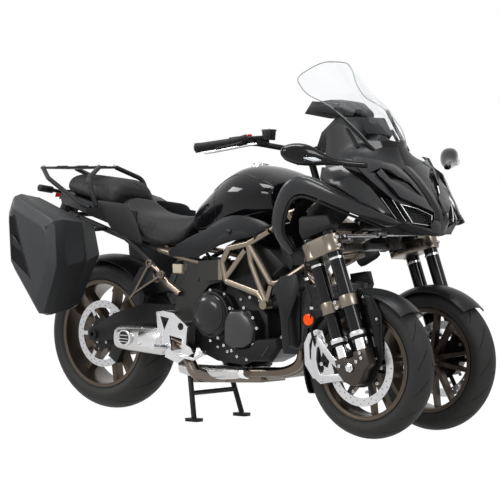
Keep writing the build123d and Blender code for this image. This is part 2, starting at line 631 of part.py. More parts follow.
frame_y = 197.0
frame_tube_r = 14.0
stand_pivot_x, stand_pivot_z = -183.0, 226.0
swing_pivot_x, swing_pivot_z = -190.0, 430.0
stand_bolt_r = 8.0
side_pivot = Vector(-20.0, 176.0, 214.0)
side_folded = Vector(-195.0, 10.0, -4.0)       # from the pivot to the folded side stand's tip
side_down = Vector(0.2, 0.35, -0.9)            # the way it points when it is down
side_axis = side_down.cross(side_folded).normalized()
side_bolt_r = 6.0
side_knuckle_half = 9.0
plate_in, plate_out = 149.0, 161.0
with BuildPart() as main_frame_right:
    # trellis side: x, z of each tube's corners at the outer tube plane
    trellis = [
        [(303, 776), (197, 725), (96, 706), (63, 650), (85, 573), (248, 529), (285, 487)],
        [(197, 725), (212, 648), (285, 500)],
        [(181, 700), (80, 587)],
        [(311, 562), (285, 487)]]
    for run in trellis:
        points = [(x, -frame_y, z) for x, z in run]
        if len(points) == 2:
            rod(points[0], points[1], frame_tube_r - 2)
        else:
            tube(points, frame_tube_r, 16)
    tube([(197, -frame_y, 725), (311, -190, 562), (354, -150, 593), (421, -120, 640)], frame_tube_r - 1,
         18)
    rod((285, -frame_y + 20, 487), (285, -frame_y - 22, 487), 18)
    rod((285, -frame_y + 20, 487), (246, -129, 482), 12)
    # cast pivot plate, with the lug for the centre stand at its foot
    pivot_plate = [(64, 664), (60, 578), (-40, 556), (-96, 500), (-112, 380), (-120, 290), (-156, 208),
                   (-200, 206), (-212, 250), (-228, 400), (-220, 480), (-160, 600), (-66, 672)]
    plate(side_plane(-plate_in), pivot_plate, plate_out - plate_in)
    plate(side_plane(-plate_out), [(66, 660), (66, 580), (-50, 572), (-62, 652)], frame_y - plate_out + 8)
    rod((stand_pivot_x, -plate_in, stand_pivot_z), (stand_pivot_x, -107, stand_pivot_z), stand_bolt_r)
    rod((stand_pivot_x, -107, stand_pivot_z), (stand_pivot_x, -102, stand_pivot_z), 13)
with BuildPart() as main_frame:
    add(front_frame.part)
    add(main_frame_right.part)
    mirror(main_frame_right.part, about=Plane.XZ)
    # side stand lug and bolt on the left
    lug_root = side_pivot - side_axis * 30
    rod(lug_root, side_pivot - side_axis * (side_knuckle_half + 1.5), 15)
    rod(lug_root, side_pivot + side_axis * (side_knuckle_half + 6), side_bolt_r)
    rod(side_pivot + side_axis * (side_knuckle_half + 1.5),
        side_pivot + side_axis * (side_knuckle_half + 6), 10)
    rod((lug_root.X, 149, lug_root.Z), (-172, 153, 233), 10)
    # cross tubes that tie the two sides
    rod((-40, -plate_in, 640), (-40, plate_in, 640), 13)
    rod((-205, -plate_in, 300), (-205, plate_in, 300), 12)
    rod((90, -frame_y, 704), (90, frame_y, 704), 12)
finish(main_frame, "main_frame")

rail_y = 118.0
case_seam_y = 300.0
case_in_y = 252.0
with BuildPart() as rear_subframe:
    for side in (-1, 1):
        tube(mirrored_y([(-76, plate_out + 13, 648), (-222, plate_out + 13, 676), (-340, 134, 694), (-520, rail_y, 734),
                         (-860, rail_y, 838)], side), 13, 50)
        rod((-90, side * plate_out, 650), (-90, side * (plate_out + 13), 650), 10)
        rod((-196, side * plate_out, 524), (-196, side * (plate_out + 12), 524), 10)
        tube(mirrored_y([(-186, plate_out + 12, 516), (-246, plate_out + 12, 552), (-330, 154, 612),
                         (-440, 138, 690), (-560, rail_y, 752)],
                        side), 12, 40)
        # pillion peg bracket
        peg_bracket = [(-301, 560), (-357, 628), (-400, 620), (-480, 512), (-455, 496), (-345, 560)]
        plate(side_plane(side * 172 + 5), peg_bracket, 10)
        rod((-345, side * 150, 600), (-345, side * 172, 600), 9)
        # side case carriers
        for x, z in ((-640, 776), (-800, 821)):
            rod((x, side * rail_y, z), (x, side * (case_in_y - 1), z - 6), 8)
    for x, z in ((-300, 701), (-560, 753), (-850, 835)):
        rod((x, -rail_y - 10, z), (x, rail_y + 10, z), 10)
finish(rear_subframe, "rear_subframe")

arm_in, arm_t = 103.0, 25.0
left_arm_in = 122.0
with BuildPart() as swingarm:
    # Columns: share of the way from the axle to the pivot, and height over the line between them.
    arm_rows = [(-0.058, 32), (-0.062, -20), (0.038, -34), (0.212, -39), (0.596, -34), (0.954, -23),
                (1.0, -26), (1.05, -5), (1.0, 26), (0.904, 42), (0.558, 84), (0.231, 71), (0.038, 38)]
    arm_outline = [(rear_axle_x + share * (swing_pivot_x - rear_axle_x),
                    rear_axle_z + share * (swing_pivot_z - rear_axle_z) + rise)
                   for share, rise in arm_rows]
    for y, outer in ((-arm_in, -arm_in - arm_t), (left_arm_in + arm_t, left_arm_in)):
        plate(side_plane(y), arm_outline, y - outer)
    rod((swing_pivot_x, -plate_in, swing_pivot_z), (swing_pivot_x, plate_in, swing_pivot_z), 20)
    cross_member = [(-300, 384), (-348, 384), (-362, 400), (-354, 428), (-300, 434)]
    plate(side_plane(left_arm_in), cross_member, left_arm_in + arm_in)
    rod((rear_axle_x, -arm_in, rear_axle_z), (rear_axle_x, -arm_in - arm_t - 14, rear_axle_z), 22)
    rod((rear_axle_x, left_arm_in, rear_axle_z), (rear_axle_x, left_arm_in + arm_t + 12, rear_axle_z), 22)
    rod((rear_axle_x, -arm_in, rear_axle_z), (rear_axle_x, left_arm_in, rear_axle_z), rear_axle_r)
    # mudguard over the front half of the tyre, with a stay to the right arm
    mudguard((rear_axle_x, 0, rear_axle_z), rear_tyre_r + guard_gap, rear_tyre_w / 2 + 2, 32, 72)
    rod((rear_axle_x + 262, -arm_in + 8, rear_axle_z + 172),
        (rear_axle_x + 266, -arm_in - 12, rear_axle_z + 126), 8)
    # rear caliper on the right arm
    jaw_plane = Plane(origin=(rear_axle_x, -rear_disc_place + 10, rear_axle_z), x_dir=(1, 0, 0),
                      z_dir=(0, -1, 0))
    with BuildSketch(jaw_plane) as rear_jaw:
        with Locations(Location((104, -66, 0), (0, 0, -32))):
            Rectangle(54, 90)
    extrude(rear_jaw.sketch, amount=arm_in - rear_disc_place + 10)
    with BuildSketch(Plane(origin=(rear_axle_x, -rear_disc_place + jaw_gap, rear_axle_z), x_dir=(1, 0, 0),
                           z_dir=(0, -1, 0))) as rear_slot:
        Circle(rear_disc_r + jaw_gap)
    extrude(rear_slot.sketch, amount=disc_t + 2 * jaw_gap, mode=Mode.SUBTRACT)
    rod((rear_axle_x, -arm_in - arm_t - 20, rear_axle_z), (rear_axle_x, left_arm_in + arm_t + 20,
        rear_axle_z), rear_axle_bore_r, mode=Mode.SUBTRACT)
finish(swingarm, "swingarm")

# spring and damper between the swingarm link and the frame
with BuildPart() as shock_absorber:
    shock_low, shock_high = Vector(-262, 0, 300), Vector(-238, 0, 600)
    rod(shock_low, shock_high, 20)
    coils = 9
    for turn in range(coils):
        share = (turn + 1.5) / (coils + 2)
        middle = shock_low + (shock_high - shock_low) * share
        step = (shock_high - shock_low).normalized() * 5.5
        rod(middle - step, middle + step, 33)
    rod((-262, -30, 300), (-262, 30, 300), 15)
    rod((-238, -30, 600), (-238, 30, 600), 15)
finish(shock_absorber, "shock_absorber")

# drive chain: one closed loop round both sprockets
with BuildPart() as drive_chain:
    chain_plane = side_plane(chain_y + chain_half_w)
    outer_loop = link_outline(chain_plane, front_sprocket, (rear_axle_x, rear_axle_z),
                              front_sprocket_r + 9, sprocket_r + 9)
    inner_loop = link_outline(chain_plane, front_sprocket, (rear_axle_x, rear_axle_z),
                              front_sprocket_r, sprocket_r + 0.3)
    extrude(outer_loop, amount=2 * chain_half_w)
    extrude(inner_loop, amount=2 * chain_half_w, mode=Mode.SUBTRACT)
finish(drive_chain, "drive_chain")

# ==== Radiator and side panels ====

with BuildPart() as radiator:
    core = [(420, 330), (452, 326), (486, 560), (454, 566)]
    plate(side_plane(165), core, 330)
    for side in (-1, 1):
        plate(side_plane(side * 177 + 12), [(414, 326), (456, 322), (492, 566), (448, 572)], 24)
    for row in range(8):
        z = 350 + row * 26
        x = 452 + (z - 326) * 0.145
        with BuildSketch(Plane.XY.offset(z)) as fin:
            with Locations((x, 0)):
                Rectangle(8, 326)
        extrude(fin.sketch, amount=5)
finish(radiator, "radiator")

with BuildPart() as side_panels_right:
    # radiator shroud: x, z
    shroud = [(350, 560), (392, 600), (470, 612), (486, 560), (430, 434), (436, 336), (484, 326),
              (478, 304), (404, 304), (392, 430), (380, 500)]
    plate(side_plane(-236), shroud, 5)
    plate(side_plane(-200), [(392, 600), (470, 612), (486, 560), (470, 540), (400, 560)], 36)
    # upper side cover between the tank, the seat and the trellis
    cover = [(300, 784), (133, 832), (-110, 742), (-213, 690), (-206, 668), (-62, 664), (4, 690),
             (60, 716), (130, 735), (220, 752)]
    plate(side_plane(-211), cover, 5)
with BuildPart() as side_panels:
    add(side_panels_right.part)
    mirror(side_panels_right.part, about=Plane.XZ)
finish(side_panels, "side_panels")

# ==== Tank, seats and tail: lofts through cross-sections ====

def body_loft(stations):
    """A closed body through cross-sections; each row is x and the right half's (y, z) points."""
    faces = []
    for x, half_points in stations:
        left = [(y, z) for y, z in half_points]
        right = [(-y, z) for y, z in reversed(half_points) if y > 0]
        faces.append(outline(cross_plane(x), left + right))
    loft(sections=faces, ruled=True)


# Columns: x, then (y, z) from the top centre down the side to the bottom centre.
tank_stations = [
    (-186, [(0, 862), (60, 852), (92, 806), (84, 744), (0, 744)]),
    (-100, [(0, 934), (70, 920), (128, 856), (116, 736), (0, 736)]),
    (0, [(0, 1000), (92, 984), (160, 900), (140, 736), (0, 736)]),
    (80, [(0, 1032), (112, 1010), (188, 926), (168, 770), (0, 770)]),
    (160, [(0, 1030), (126, 1004), (198, 930), (186, 800), (0, 780)]),
    (240, [(0, 1000), (132, 984), (198, 930), (184, 812), (0, 800)]),
    (300, [(0, 960), (130, 958), (188, 926), (176, 830), (0, 820)])]
with BuildPart() as fuel_tank:
    body_loft(tank_stations)
    rod((70, 0, 1010), (78, 0, 1044), 38)
    rod((78, 0, 1040), (79, 0, 1048), 26)
finish(fuel_tank, "fuel_tank")

rider_stations = [
    (-192, [(0, 836), (58, 829), (100, 794), (120, 746), (112, 716), (96, 722), (0, 722)]),
    (-260, [(0, 828), (92, 818), (142, 770), (162, 716), (152, 699), (134, 716), (0, 716)]),
    (-350, [(0, 832), (112, 824), (164, 776), (176, 722), (168, 705), (140, 724), (0, 740)]),
    (-450, [(0, 840), (128, 834), (172, 798), (176, 768), (166, 752), (138, 752), (0, 768)]),
    (-530, [(0, 872), (124, 862), (164, 822), (168, 796), (158, 782), (138, 784), (0, 790)]),
    (-582, [(0, 934), (100, 920), (148, 858), (156, 822), (146, 804), (130, 804), (0, 804)])]
with BuildPart() as rider_seat:
    body_loft(rider_stations)
finish(rider_seat, "rider_seat")

pillion_stations = [
    (-586, [(0, 962), (104, 950), (140, 890), (132, 858), (0, 858)]),
    (-700, [(0, 984), (112, 974), (150, 920), (140, 890), (0, 890)]),
    (-830, [(0, 1000), (104, 990), (140, 944), (128, 920), (0, 920)]),
    (-920, [(0, 1008), (76, 1000), (104, 970), (92, 940), (0, 940)])]
with BuildPart() as pillion_seat:
    body_loft(pillion_stations)
finish(pillion_seat, "pillion_seat")

tail_stations = [
    (-588, [(0, 852), (128, 850), (150, 838), (142, 806), (96, 800), (0, 800)]),
    (-700, [(0, 882), (134, 884), (148, 866), (136, 822), (96, 812), (0, 812)]),
    (-830, [(0, 914), (122, 914), (132, 900), (120, 862), (96, 852), (0, 852)]),
    (-945, [(0, 934), (84, 934), (94, 922), (84, 884), (60, 878), (0, 878)])]
with BuildPart() as tail_cowl:
    body_loft(tail_stations)
    for side in (-1, 1):
        plate(side_plane(side * 182 + 4), [(-420, 760), (-414, 850), (-560, 872), (-700, 862), (-690, 834),
                                           (-540, 790)], 8)
        rod((-610, side * 140, 836), (-610, side * 180, 836), 12)
finish(tail_cowl, "tail_cowl")

rack_z = 1040.0
rack_t = 10.0
rack_hole_r = 3.3
rack_centre_x = -905.0
rack_spacing_x, rack_spacing_y = 150.0, 104.0
with BuildPart() as luggage_rack:
    rack_outline = [(-742, -58), (-742, 58), (-800, 74), (-960, 84), (-1044, 112), (-1056, 96),
                    (-1056, -96), (-1044, -112), (-960, -84), (-800, -74)]
    extrude(outline(Plane.XY.offset(rack_z - rack_t), rack_outline), amount=rack_t)
    with BuildSketch(Plane.XY.offset(rack_z - rack_t)) as windows:
        with Locations((rack_centre_x, 0)):
            with GridLocations(78, 0, 3, 1):
                Rectangle(52, 66)
    extrude(windows.sketch, amount=rack_t, mode=Mode.SUBTRACT)
    with BuildSketch(Plane.XY.offset(rack_z - rack_t)) as holes:
        with Locations((rack_centre_x, 0)):
            with GridLocations(rack_spacing_x, rack_spacing_y, 2, 2):
                Circle(rack_hole_r)
    extrude(holes.sketch, amount=rack_t, mode=Mode.SUBTRACT)
    for side in (-1, 1):
        # grab rails: one out and down beside the seat, one from the rack's rear corner to the tail
        tube(mirrored_y([(-752, 52, rack_z - 5), (-706, 168, 985), (-655, 172, 868)], side), 10, 40)
        tube(mirrored_y([(-1040, 100, rack_z - 6), (-960, 150, 990), (-760, 160, 880), (-705, 158, 862)],
                        side), 10, 60)
finish(luggage_rack, "luggage_rack")

with BuildPart() as tail_lights:
    plate(cross_plane(-975), [(-70, 900), (70, 900), (58, 940), (-58, 940)], 30)
    # indicators on stalks and the plate holder
    for side in (-1, 1):
        rod((-962, side * 60, 930), (-968, side * 128, 940), 8)
        rod((-968, side * 120, 939), (-974, side * 188, 948), 15)
    holder_side = [(-946, 890), (-974, 900), (-1040, 780), (-1046, 640), (-1030, 640), (-1020, 770)]
    plate(side_plane(45), holder_side, 90)
    plate(cross_plane(tail_x), [(-92, 560), (92, 560), (92, 690), (-92, 690)], 4)
    plate(side_plane(30), [(tail_x + 4, 640), (tail_x + 4, 680), (-1040, 680), (-1040, 640)], 60)
finish(tail_lights, "tail_lights")

# ==== Nose, arches, lamps, screen and mirrors ====

wall = 4.0


def nose_plan(z, front, front_150, side_x, side_y, back_x, inset=0.0):
    """Plan outline of the nose at height z."""
    half = [(front - inset, 0), (front_150 - inset, 150 - inset * 0.2), (side_x - inset, side_y - inset)]
    half.append((back_x - (40 if inset else 0), side_y - inset))
    right = [(x, -y) for x, y in half if y > 0]
    return outline(Plane.XY.offset(z), [*half, *reversed(right)])


# Columns: z, front at the centre line, front at y 150, side corner x and y, open back x.
nose_rows = [
    (758, 962, 928, 905, 165, 880),
    (812, 972, 934, 905, 240, 835),
    (848, 968, 926, 868, 258, 800),
    (905, 937, 898, 790, 284, 730),
    (976, 872, 842, 650, 300, 615),
    (1028, 810, 792, 640, 262, 600),
    (1080, 770, 738, 660, 130, 620)]
# y, z of the right headlamp's outline
lamp_outline = [(-40, 794), (-46, 836), (-104, 864), (-160, 882), (-156, 846), (-132, 808), (-90, 796)]
lamp_deep = 55.0
# the lens lies along the nose: it falls back towards the side
lens_plane = Plane(origin=(958, -48, 830), x_dir=(0.58, 1, 0), z_dir=(1, -0.58, 0))
with BuildPart() as nose_cowl:
    loft(sections=[nose_plan(*row) for row in nose_rows], ruled=True)
    inner_rows = [(nose_rows[0][0] - 8, *nose_rows[0][1:]), *nose_rows[1:-1],
                  (nose_rows[-1][0] + 8, *nose_rows[-1][1:])]
    loft(sections=[nose_plan(*row, inset=wall) for row in inner_rows], ruled=True, mode=Mode.SUBTRACT)
    for side in (-1, 1):
        window = [(y * -side, z) for y, z in lamp_outline]
        plate(cross_plane(860), window, 140, mode=Mode.SUBTRACT)
finish(nose_cowl, "nose_cowl")

with BuildPart() as headlamps_right:
    with BuildSketch(cross_plane(800)) as lamp_back:
        with BuildLine():
            Polyline(*lamp_outline, close=True)
        make_face()
        offset(amount=-panel_gap)
    extrude(lamp_back.sketch, amount=200)
    split(bisect_by=lens_plane, keep=Keep.BOTTOM)
    split(bisect_by=lens_plane.offset(-lamp_deep), keep=Keep.TOP)
with BuildPart() as headlamps:
    add(headlamps_right.part)
    mirror(headlamps_right.part, about=Plane.XZ)
finish(headlamps, "headlamps")

# Wheel arch over each fork: an L-shaped band from the nose round to the lower leg.
# Columns: outer edge x, z; inner edge x, z; outboard face y; inboard edge y of the top skin.
arch_rows = [
    (938, 812, 850, 806, 262, 249),
    (860, 866, 800, 836, 310, 267),
    (735, 930, 700, 884, 344, 305),
    (620, 980, 602, 914, 350, 305),
    (530, 990, 558, 918, 350, 290),
    (450, 908, 492, 838, 346, 290),
    (416, 817, 474, 784, 340, 300),
    (436, 742, 492, 740, 325, 295),
    (486, 678, 514, 690, 300, 280)]
with BuildPart() as arch_cowls_right:
    faces = []
    for outer_x, outer_z, inner_x, inner_z, out_y, in_y in arch_rows:
        run = Vector(outer_x - inner_x, 0, outer_z - inner_z)
        deep = run.length
        arch_plane = Plane(origin=(inner_x, 0, inner_z), x_dir=(0, -1, 0),
                           z_dir=Vector(0, -1, 0).cross(run))
        faces.append(outline(arch_plane, [
            (out_y - wall, 0), (out_y, 0), (out_y, deep), (in_y, deep), (in_y, deep - wall),
            (out_y - wall, deep - wall)]))
    loft(sections=faces, ruled=True)
with BuildPart() as arch_cowls:
    add(arch_cowls_right.part)
    mirror(arch_cowls_right.part, about=Plane.XZ)
finish(arch_cowls, "arch_cowls")

# Columns: z, x on the centre line, half-width, x at the side edge.
screen_rows = [
    (1086, 778, 108, 742),
    (1165, 762, 154, 690),
    (1250, 692, 180, 596),
    (1345, 590, 191, 462),
    (1382, 553, 172, 450),
    (1415, 521, 128, 462),
    (1436, 500, 64, 484)]
screen_t = 4.0
with BuildPart() as windscreen:
    faces = []
    for z, middle_x, half, edge_x in screen_rows:
        with BuildSketch(Plane.XY.offset(z)) as band:
            with BuildLine():
                ThreePointArc((edge_x, -half), (middle_x, 0), (edge_x, half))
                Line((edge_x, half), (edge_x - screen_t, half))
                ThreePointArc((edge_x - screen_t, half), (middle_x - screen_t, 0), (edge_x - screen_t, -half))
                Line((edge_x - screen_t, -half), (edge_x, -half))
            make_face()
        faces.append(band.sketch)
    loft(sections=faces, ruled=True)
finish(windscreen, "windscreen")

with BuildPart() as instrument_housing:
    housing = [(446, 1100), (470, 1158), (540, 1214), (650, 1214), (690, 1150), (640, 1092), (500, 1090)]
    plate(side_plane(84), housing, 168)
    plate(side_plane(92), [(392, 1232), (430, 1280), (556, 1268), (560, 1222), (520, 1210)], 184)
    rod((560, 0, 1240), (640, 0, 1226), 14)
    plate(side_plane(60), [(620, 1095), (650, 1120), (700, 1090), (690, 1060), (620, 1060)], 120)
finish(instrument_housing, "instrument_housing")

with BuildPart() as mirrors_right:
    tube([(740, -262, 1006), (738, -310, 1014), (716, -372, 1040)], 12, 40)
    # Columns: y, then x and z of the pod's outline at that place
    pod_rows = [
        (-352, [(728, 1016), (742, 1038), (728, 1062), (676, 1064), (668, 1030), (690, 1010)]),
        (-430, [(720, 1008), (736, 1042), (716, 1084), (652, 1090), (644, 1040), (664, 1000)]),
        (-520, [(690, 1020), (706, 1052), (688, 1096), (640, 1098), (630, 1056), (644, 1014)]),
        (-546, [(672, 1046), (680, 1062), (670, 1084), (644, 1086), (638, 1064), (644, 1042)])]
    loft(sections=[outline(side_plane(y), points) for y, points in pod_rows], ruled=True)
with BuildPart() as mirrors:
    add(mirrors_right.part)
    mirror(mirrors_right.part, about=Plane.XZ)
finish(mirrors, "mirrors")

# ==== Footrests ====

bracket_y = 236.0
with BuildPart() as footrests_right:
    bracket = [(-251, 444), (-211, 449), (-157, 441), (-111, 410), (-82, 389), (-86, 361), (-90, 317),
               (-65, 305), (-52, 286), (-136, 242), (-203, 264), (-191, 305), (-220, 345), (-241, 370)]
    plate(side_plane(-bracket_y), bracket, 10)
    with BuildSketch(side_plane(-bracket_y)) as cuts:
        with Locations((-118, 389)):
            Circle(15)
        with BuildLine():
            Polyline((-228, 428), (-180, 420), (-206, 372), close=True)
        make_face()
        with BuildLine():
            Polyline((-178, 352), (-112, 340), (-112, 300), (-168, 290), close=True)
        make_face()
    extrude(cuts.sketch, amount=10, mode=Mode.SUBTRACT)
    for x, z in ((-222, 440), (-140, 400)):
        rod((x, -plate_out, z), (x, -bracket_y, z), 9)
    # hinged peg and its clevis
    rod((-196, -bracket_y - 10, 306), (-196, -bracket_y - 26, 306), 13)
    rod((-196, -bracket_y - 26, 306), (-188, -bracket_y - 104, 312), 12)
    # pedal ahead of the peg
    tube([(-120, -bracket_y - 16, 272), (-40, -bracket_y - 18, 262), (20, -bracket_y - 22, 290)], 6, 30)
    rod((-120, -bracket_y - 5, 272), (-120, -bracket_y - 24, 272), 10)
    rod((20, -bracket_y - 16, 290), (24, -bracket_y - 52, 292), 9)
with BuildPart() as footrests:
    add(footrests_right.part)
    mirror(footrests_right.part, about=Plane.XZ)
finish(footrests, "footrests")

# ==== Stands ====

leg_r = 11.0
stand_foot_y = 150.0
stand_foot_x = stand_pivot_x + stand_pivot_z * math.tan(math.radians(13))
with BuildPart() as centre_stand:
    for side in (-1, 1):
        # eye on the pivot bolt
        rod((stand_pivot_x, side * 113, stand_pivot_z), (stand_pivot_x, side * 128, stand_pivot_z), 18)
        rod((stand_pivot_x + 2, side * 121, stand_pivot_z - 10), (stand_foot_x, side * stand_foot_y, 14),
            leg_r)
        with BuildSketch(Plane.XY) as pad:
            with Locations((stand_foot_x, side * stand_foot_y)):
                Rectangle(62, 40)
        extrude(pad.sketch, amount=14)
    rod((stand_pivot_x + 27, -134, 112), (stand_pivot_x + 27, 134, 112), 10)
    for side in (-1, 1):
        rod((stand_pivot_x, side * 112, stand_pivot_z), (stand_pivot_x, side * 129, stand_pivot_z),
            stand_bolt_r + running_gap, mode=Mode.SUBTRACT)
finish(centre_stand, "centre_stand")

with BuildPart() as side_stand:
    tip = side_pivot + side_folded
    rod(side_pivot, tip, 10)
    rod(side_pivot - side_axis * side_knuckle_half, side_pivot + side_axis * side_knuckle_half, 16)
    rod((tip.X, tip.Y, tip.Z - 4), (tip.X - 6, tip.Y, tip.Z + 8), 20)
    rod(side_pivot - side_axis * 14, side_pivot + side_axis * 14, side_bolt_r + running_gap,
        mode=Mode.SUBTRACT)
finish(side_stand, "side_stand")

# ==== Side cases: a tub fixed to the subframe and a lid hinged along its lower edge ====

case_wall = 4.0
case_out_y = 470.0
lid_gap = 0.6
# x, z of the outline at the widest place, from the top rear corner clockwise
case_widest = [(-899, 850), (-868, 922), (-627, 816), (-612, 622), (-690, 424), (-716, 420), (-884, 632)]
# x, z at the inner wall
case_inner = [(-880, 830), (-852, 886), (-590, 788), (-560, 672), (-672, 470), (-698, 450), (-860, 640)]
case_middle = [(sum(x for x, z in case_widest) / 7, sum(z for x, z in case_widest) / 7)] * 7


def blend(first, second, share):
    """Points between two outlines."""
    return [(a + (c - a) * share, b + (d - b) * share) for (a, b), (c, d) in zip(first, second)]


def case_solid(inset):
    """The case as one closed loft; inset moves every wall inwards."""
    shrink = inset / 130.0
    rows = [
        (case_in_y + inset, blend(case_inner, case_middle, shrink)),
        (case_seam_y, blend(blend(case_inner, case_widest, 0.55), case_middle, shrink)),
        (400, blend(case_widest, case_middle, shrink)),
        (440, blend(case_widest, case_middle, 0.04 + shrink)),
        (case_out_y - inset, blend(case_widest, case_middle, 0.22 + shrink))]
    loft(sections=[outline(side_plane(-y), points) for y, points in rows], ruled=True)


with BuildPart() as case_shell:
    case_solid(0)
with BuildPart() as case_hollow:
    case_solid(case_wall)
# the hinge line follows the case's sloping lower edge at the seam
seam_points = blend(case_inner, case_widest, 0.55)
hinge_a = Vector(seam_points[6][0], -case_seam_y, seam_points[6][1])
hinge_b = Vector(seam_points[5][0], -case_seam_y, seam_points[5][1])
hinge_dir = (hinge_b - hinge_a).normalized()
hinge_out = Vector(hinge_dir.Z, 0, -hinge_dir.X)
if hinge_out.Z > 0:
    hinge_out = hinge_out * -1
hinge_offset = 9.0
hinge_pin_r = 4.0
knuckle_r = 7.0
hinge_start = hinge_a + hinge_dir * 40 + hinge_out * hinge_offset
hinge_end = hinge_b - hinge_dir * 40 + hinge_out * hinge_offset
hinge_span = (hinge_end - hinge_start).length


def hinge_at(share):
    return hinge_start + hinge_dir * (hinge_span * share)


with BuildPart() as case_tub_right:
    add(case_shell.part)
    add(case_hollow.part, mode=Mode.SUBTRACT)
    split(bisect_by=Plane.XZ.offset(case_seam_y - lid_gap / 2), keep=Keep.BOTTOM)
    for start, end in ((0.18, 0.34), (0.66, 0.82)):
        rod(hinge_at(start), hinge_at(end), knuckle_r)
        web = hinge_at((start + end) / 2) - hinge_dir * (hinge_span * (end - start) / 2)
        plate(Plane(origin=web, x_dir=hinge_out, z_dir=hinge_dir),
              [(0, 6.9), (-16, 24), (-16, 1), (-6, 1), (-3, -4)], hinge_span * (end - start))
        rod(hinge_at(start), hinge_at(end), hinge_pin_r + running_gap, mode=Mode.SUBTRACT)
    add(case_hollow.part, mode=Mode.SUBTRACT)
with BuildPart() as case_lid_right:
    add(case_shell.part)
    add(case_hollow.part, mode=Mode.SUBTRACT)
    split(bisect_by=Plane.XZ.offset(case_seam_y + lid_gap / 2), keep=Keep.TOP)
    rod(hinge_at(0.36), hinge_at(0.64), knuckle_r)
    plate(Plane(origin=hinge_at(0.36), x_dir=hinge_out, z_dir=hinge_dir),
          [(0, -6.9), (-16, -24), (-16, -1), (-6, -1), (-3, 4)], hinge_span * 0.28)
    add(case_hollow.part, mode=Mode.SUBTRACT)
    rod(hinge_at(0.19), hinge_at(0.81), hinge_pin_r)
finish(case_lid_right, "case_lid_right")
with BuildPart() as case_tubs:
    add(case_tub_right.part)
    mirror(case_tub_right.part, about=Plane.XZ)
finish(case_tubs, "case_tubs")
with BuildPart() as case_lid_left:
    mirror(case_lid_right.part, about=Plane.XZ)
finish(case_lid_left, "case_lid_left")
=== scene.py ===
from math import atan2, copysign, cos, hypot, pi, radians, sin
import bpy
from mathutils import Matrix, Vector


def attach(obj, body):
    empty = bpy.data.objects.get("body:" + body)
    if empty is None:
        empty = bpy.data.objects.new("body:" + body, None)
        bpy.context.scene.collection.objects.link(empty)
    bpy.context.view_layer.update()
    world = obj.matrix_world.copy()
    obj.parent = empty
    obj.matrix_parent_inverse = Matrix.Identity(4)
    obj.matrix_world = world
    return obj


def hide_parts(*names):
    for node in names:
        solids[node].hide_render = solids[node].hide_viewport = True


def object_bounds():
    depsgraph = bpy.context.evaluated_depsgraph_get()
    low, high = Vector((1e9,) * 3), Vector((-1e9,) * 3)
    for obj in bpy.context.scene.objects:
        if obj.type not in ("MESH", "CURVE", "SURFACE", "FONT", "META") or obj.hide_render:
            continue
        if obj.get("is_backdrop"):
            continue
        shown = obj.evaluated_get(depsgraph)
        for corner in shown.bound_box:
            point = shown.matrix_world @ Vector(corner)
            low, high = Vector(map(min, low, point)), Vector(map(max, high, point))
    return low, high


# Dressed model of the leaning three-wheeler: finishes for every solid, and the modelled pieces
# (tyres, cowls, seats, lamps, bolts, hoses) that ride on its bodies. Metres, +X forward, +Y left.
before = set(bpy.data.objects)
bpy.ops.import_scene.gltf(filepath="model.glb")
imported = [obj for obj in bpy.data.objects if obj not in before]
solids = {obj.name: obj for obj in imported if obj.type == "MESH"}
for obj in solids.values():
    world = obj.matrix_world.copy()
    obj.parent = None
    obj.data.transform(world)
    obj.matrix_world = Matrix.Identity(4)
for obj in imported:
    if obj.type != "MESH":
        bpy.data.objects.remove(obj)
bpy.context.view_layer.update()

# ---- Measures that several pieces share ----

MM = 0.001
MERGE = 0.02 * MM  # doubles closer than this are one vertex
EDGE_ANGLE = 32  # degrees; sharper edges are rounded
caster_angle = radians(20)
# Axles of the wheels, in millimetres.
front_x, front_z, half_track = 800, 274.5, 205
rear_x, rear_z = -710, 330

# ---- Shader groups shared by the finishes ----


def new_group(name, inputs, outputs):
    """A shader node group with float sockets, and its input and output nodes."""
    group = bpy.data.node_groups.new(name, "ShaderNodeTree")
    group.interface.new_socket(name="Vector", in_out="INPUT", socket_type="NodeSocketVector")
    for socket, value in inputs.items():
        made = group.interface.new_socket(name=socket, in_out="INPUT", socket_type="NodeSocketFloat")
        made.default_value = value
    for socket in outputs:
        group.interface.new_socket(name=socket, in_out="OUTPUT", socket_type="NodeSocketFloat")
    return group, group.nodes.new("NodeGroupInput"), group.nodes.new("NodeGroupOutput")


def set_inputs(node, **values):
    """Sets a node's sockets; an underscore stands for a space in a socket's name."""
    for socket, value in values.items():
        node.inputs[socket.replace("_", " ")].default_value = value


def feed(tree, socket, value):
    """Gives a socket a number, or a link from another socket."""
    if isinstance(value, (int, float)):
        socket.default_value = value
    else:
        tree.links.new(value, socket)


def math_node(tree, operation, first, second=None, clamp=False):
    """A Math node whose inputs are sockets or numbers; gives back its output."""
    node = tree.nodes.new("ShaderNodeMath")
    node.operation = operation
    node.use_clamp = clamp
    feed(tree, node.inputs[0], first)
    if second is not None:
        feed(tree, node.inputs[1], second)
    return node.outputs[0]


def noise_node(tree, vector, scale, detail=3.0, roughness=0.55):
    """A Noise Texture whose scale may be a socket; gives back its Fac output."""
    node = tree.nodes.new("ShaderNodeTexNoise")
    set_inputs(node, Detail=detail, Roughness=roughness)
    tree.links.new(vector, node.inputs["Vector"])
    feed(tree, node.inputs["Scale"], scale)
    return node.outputs["Fac"]


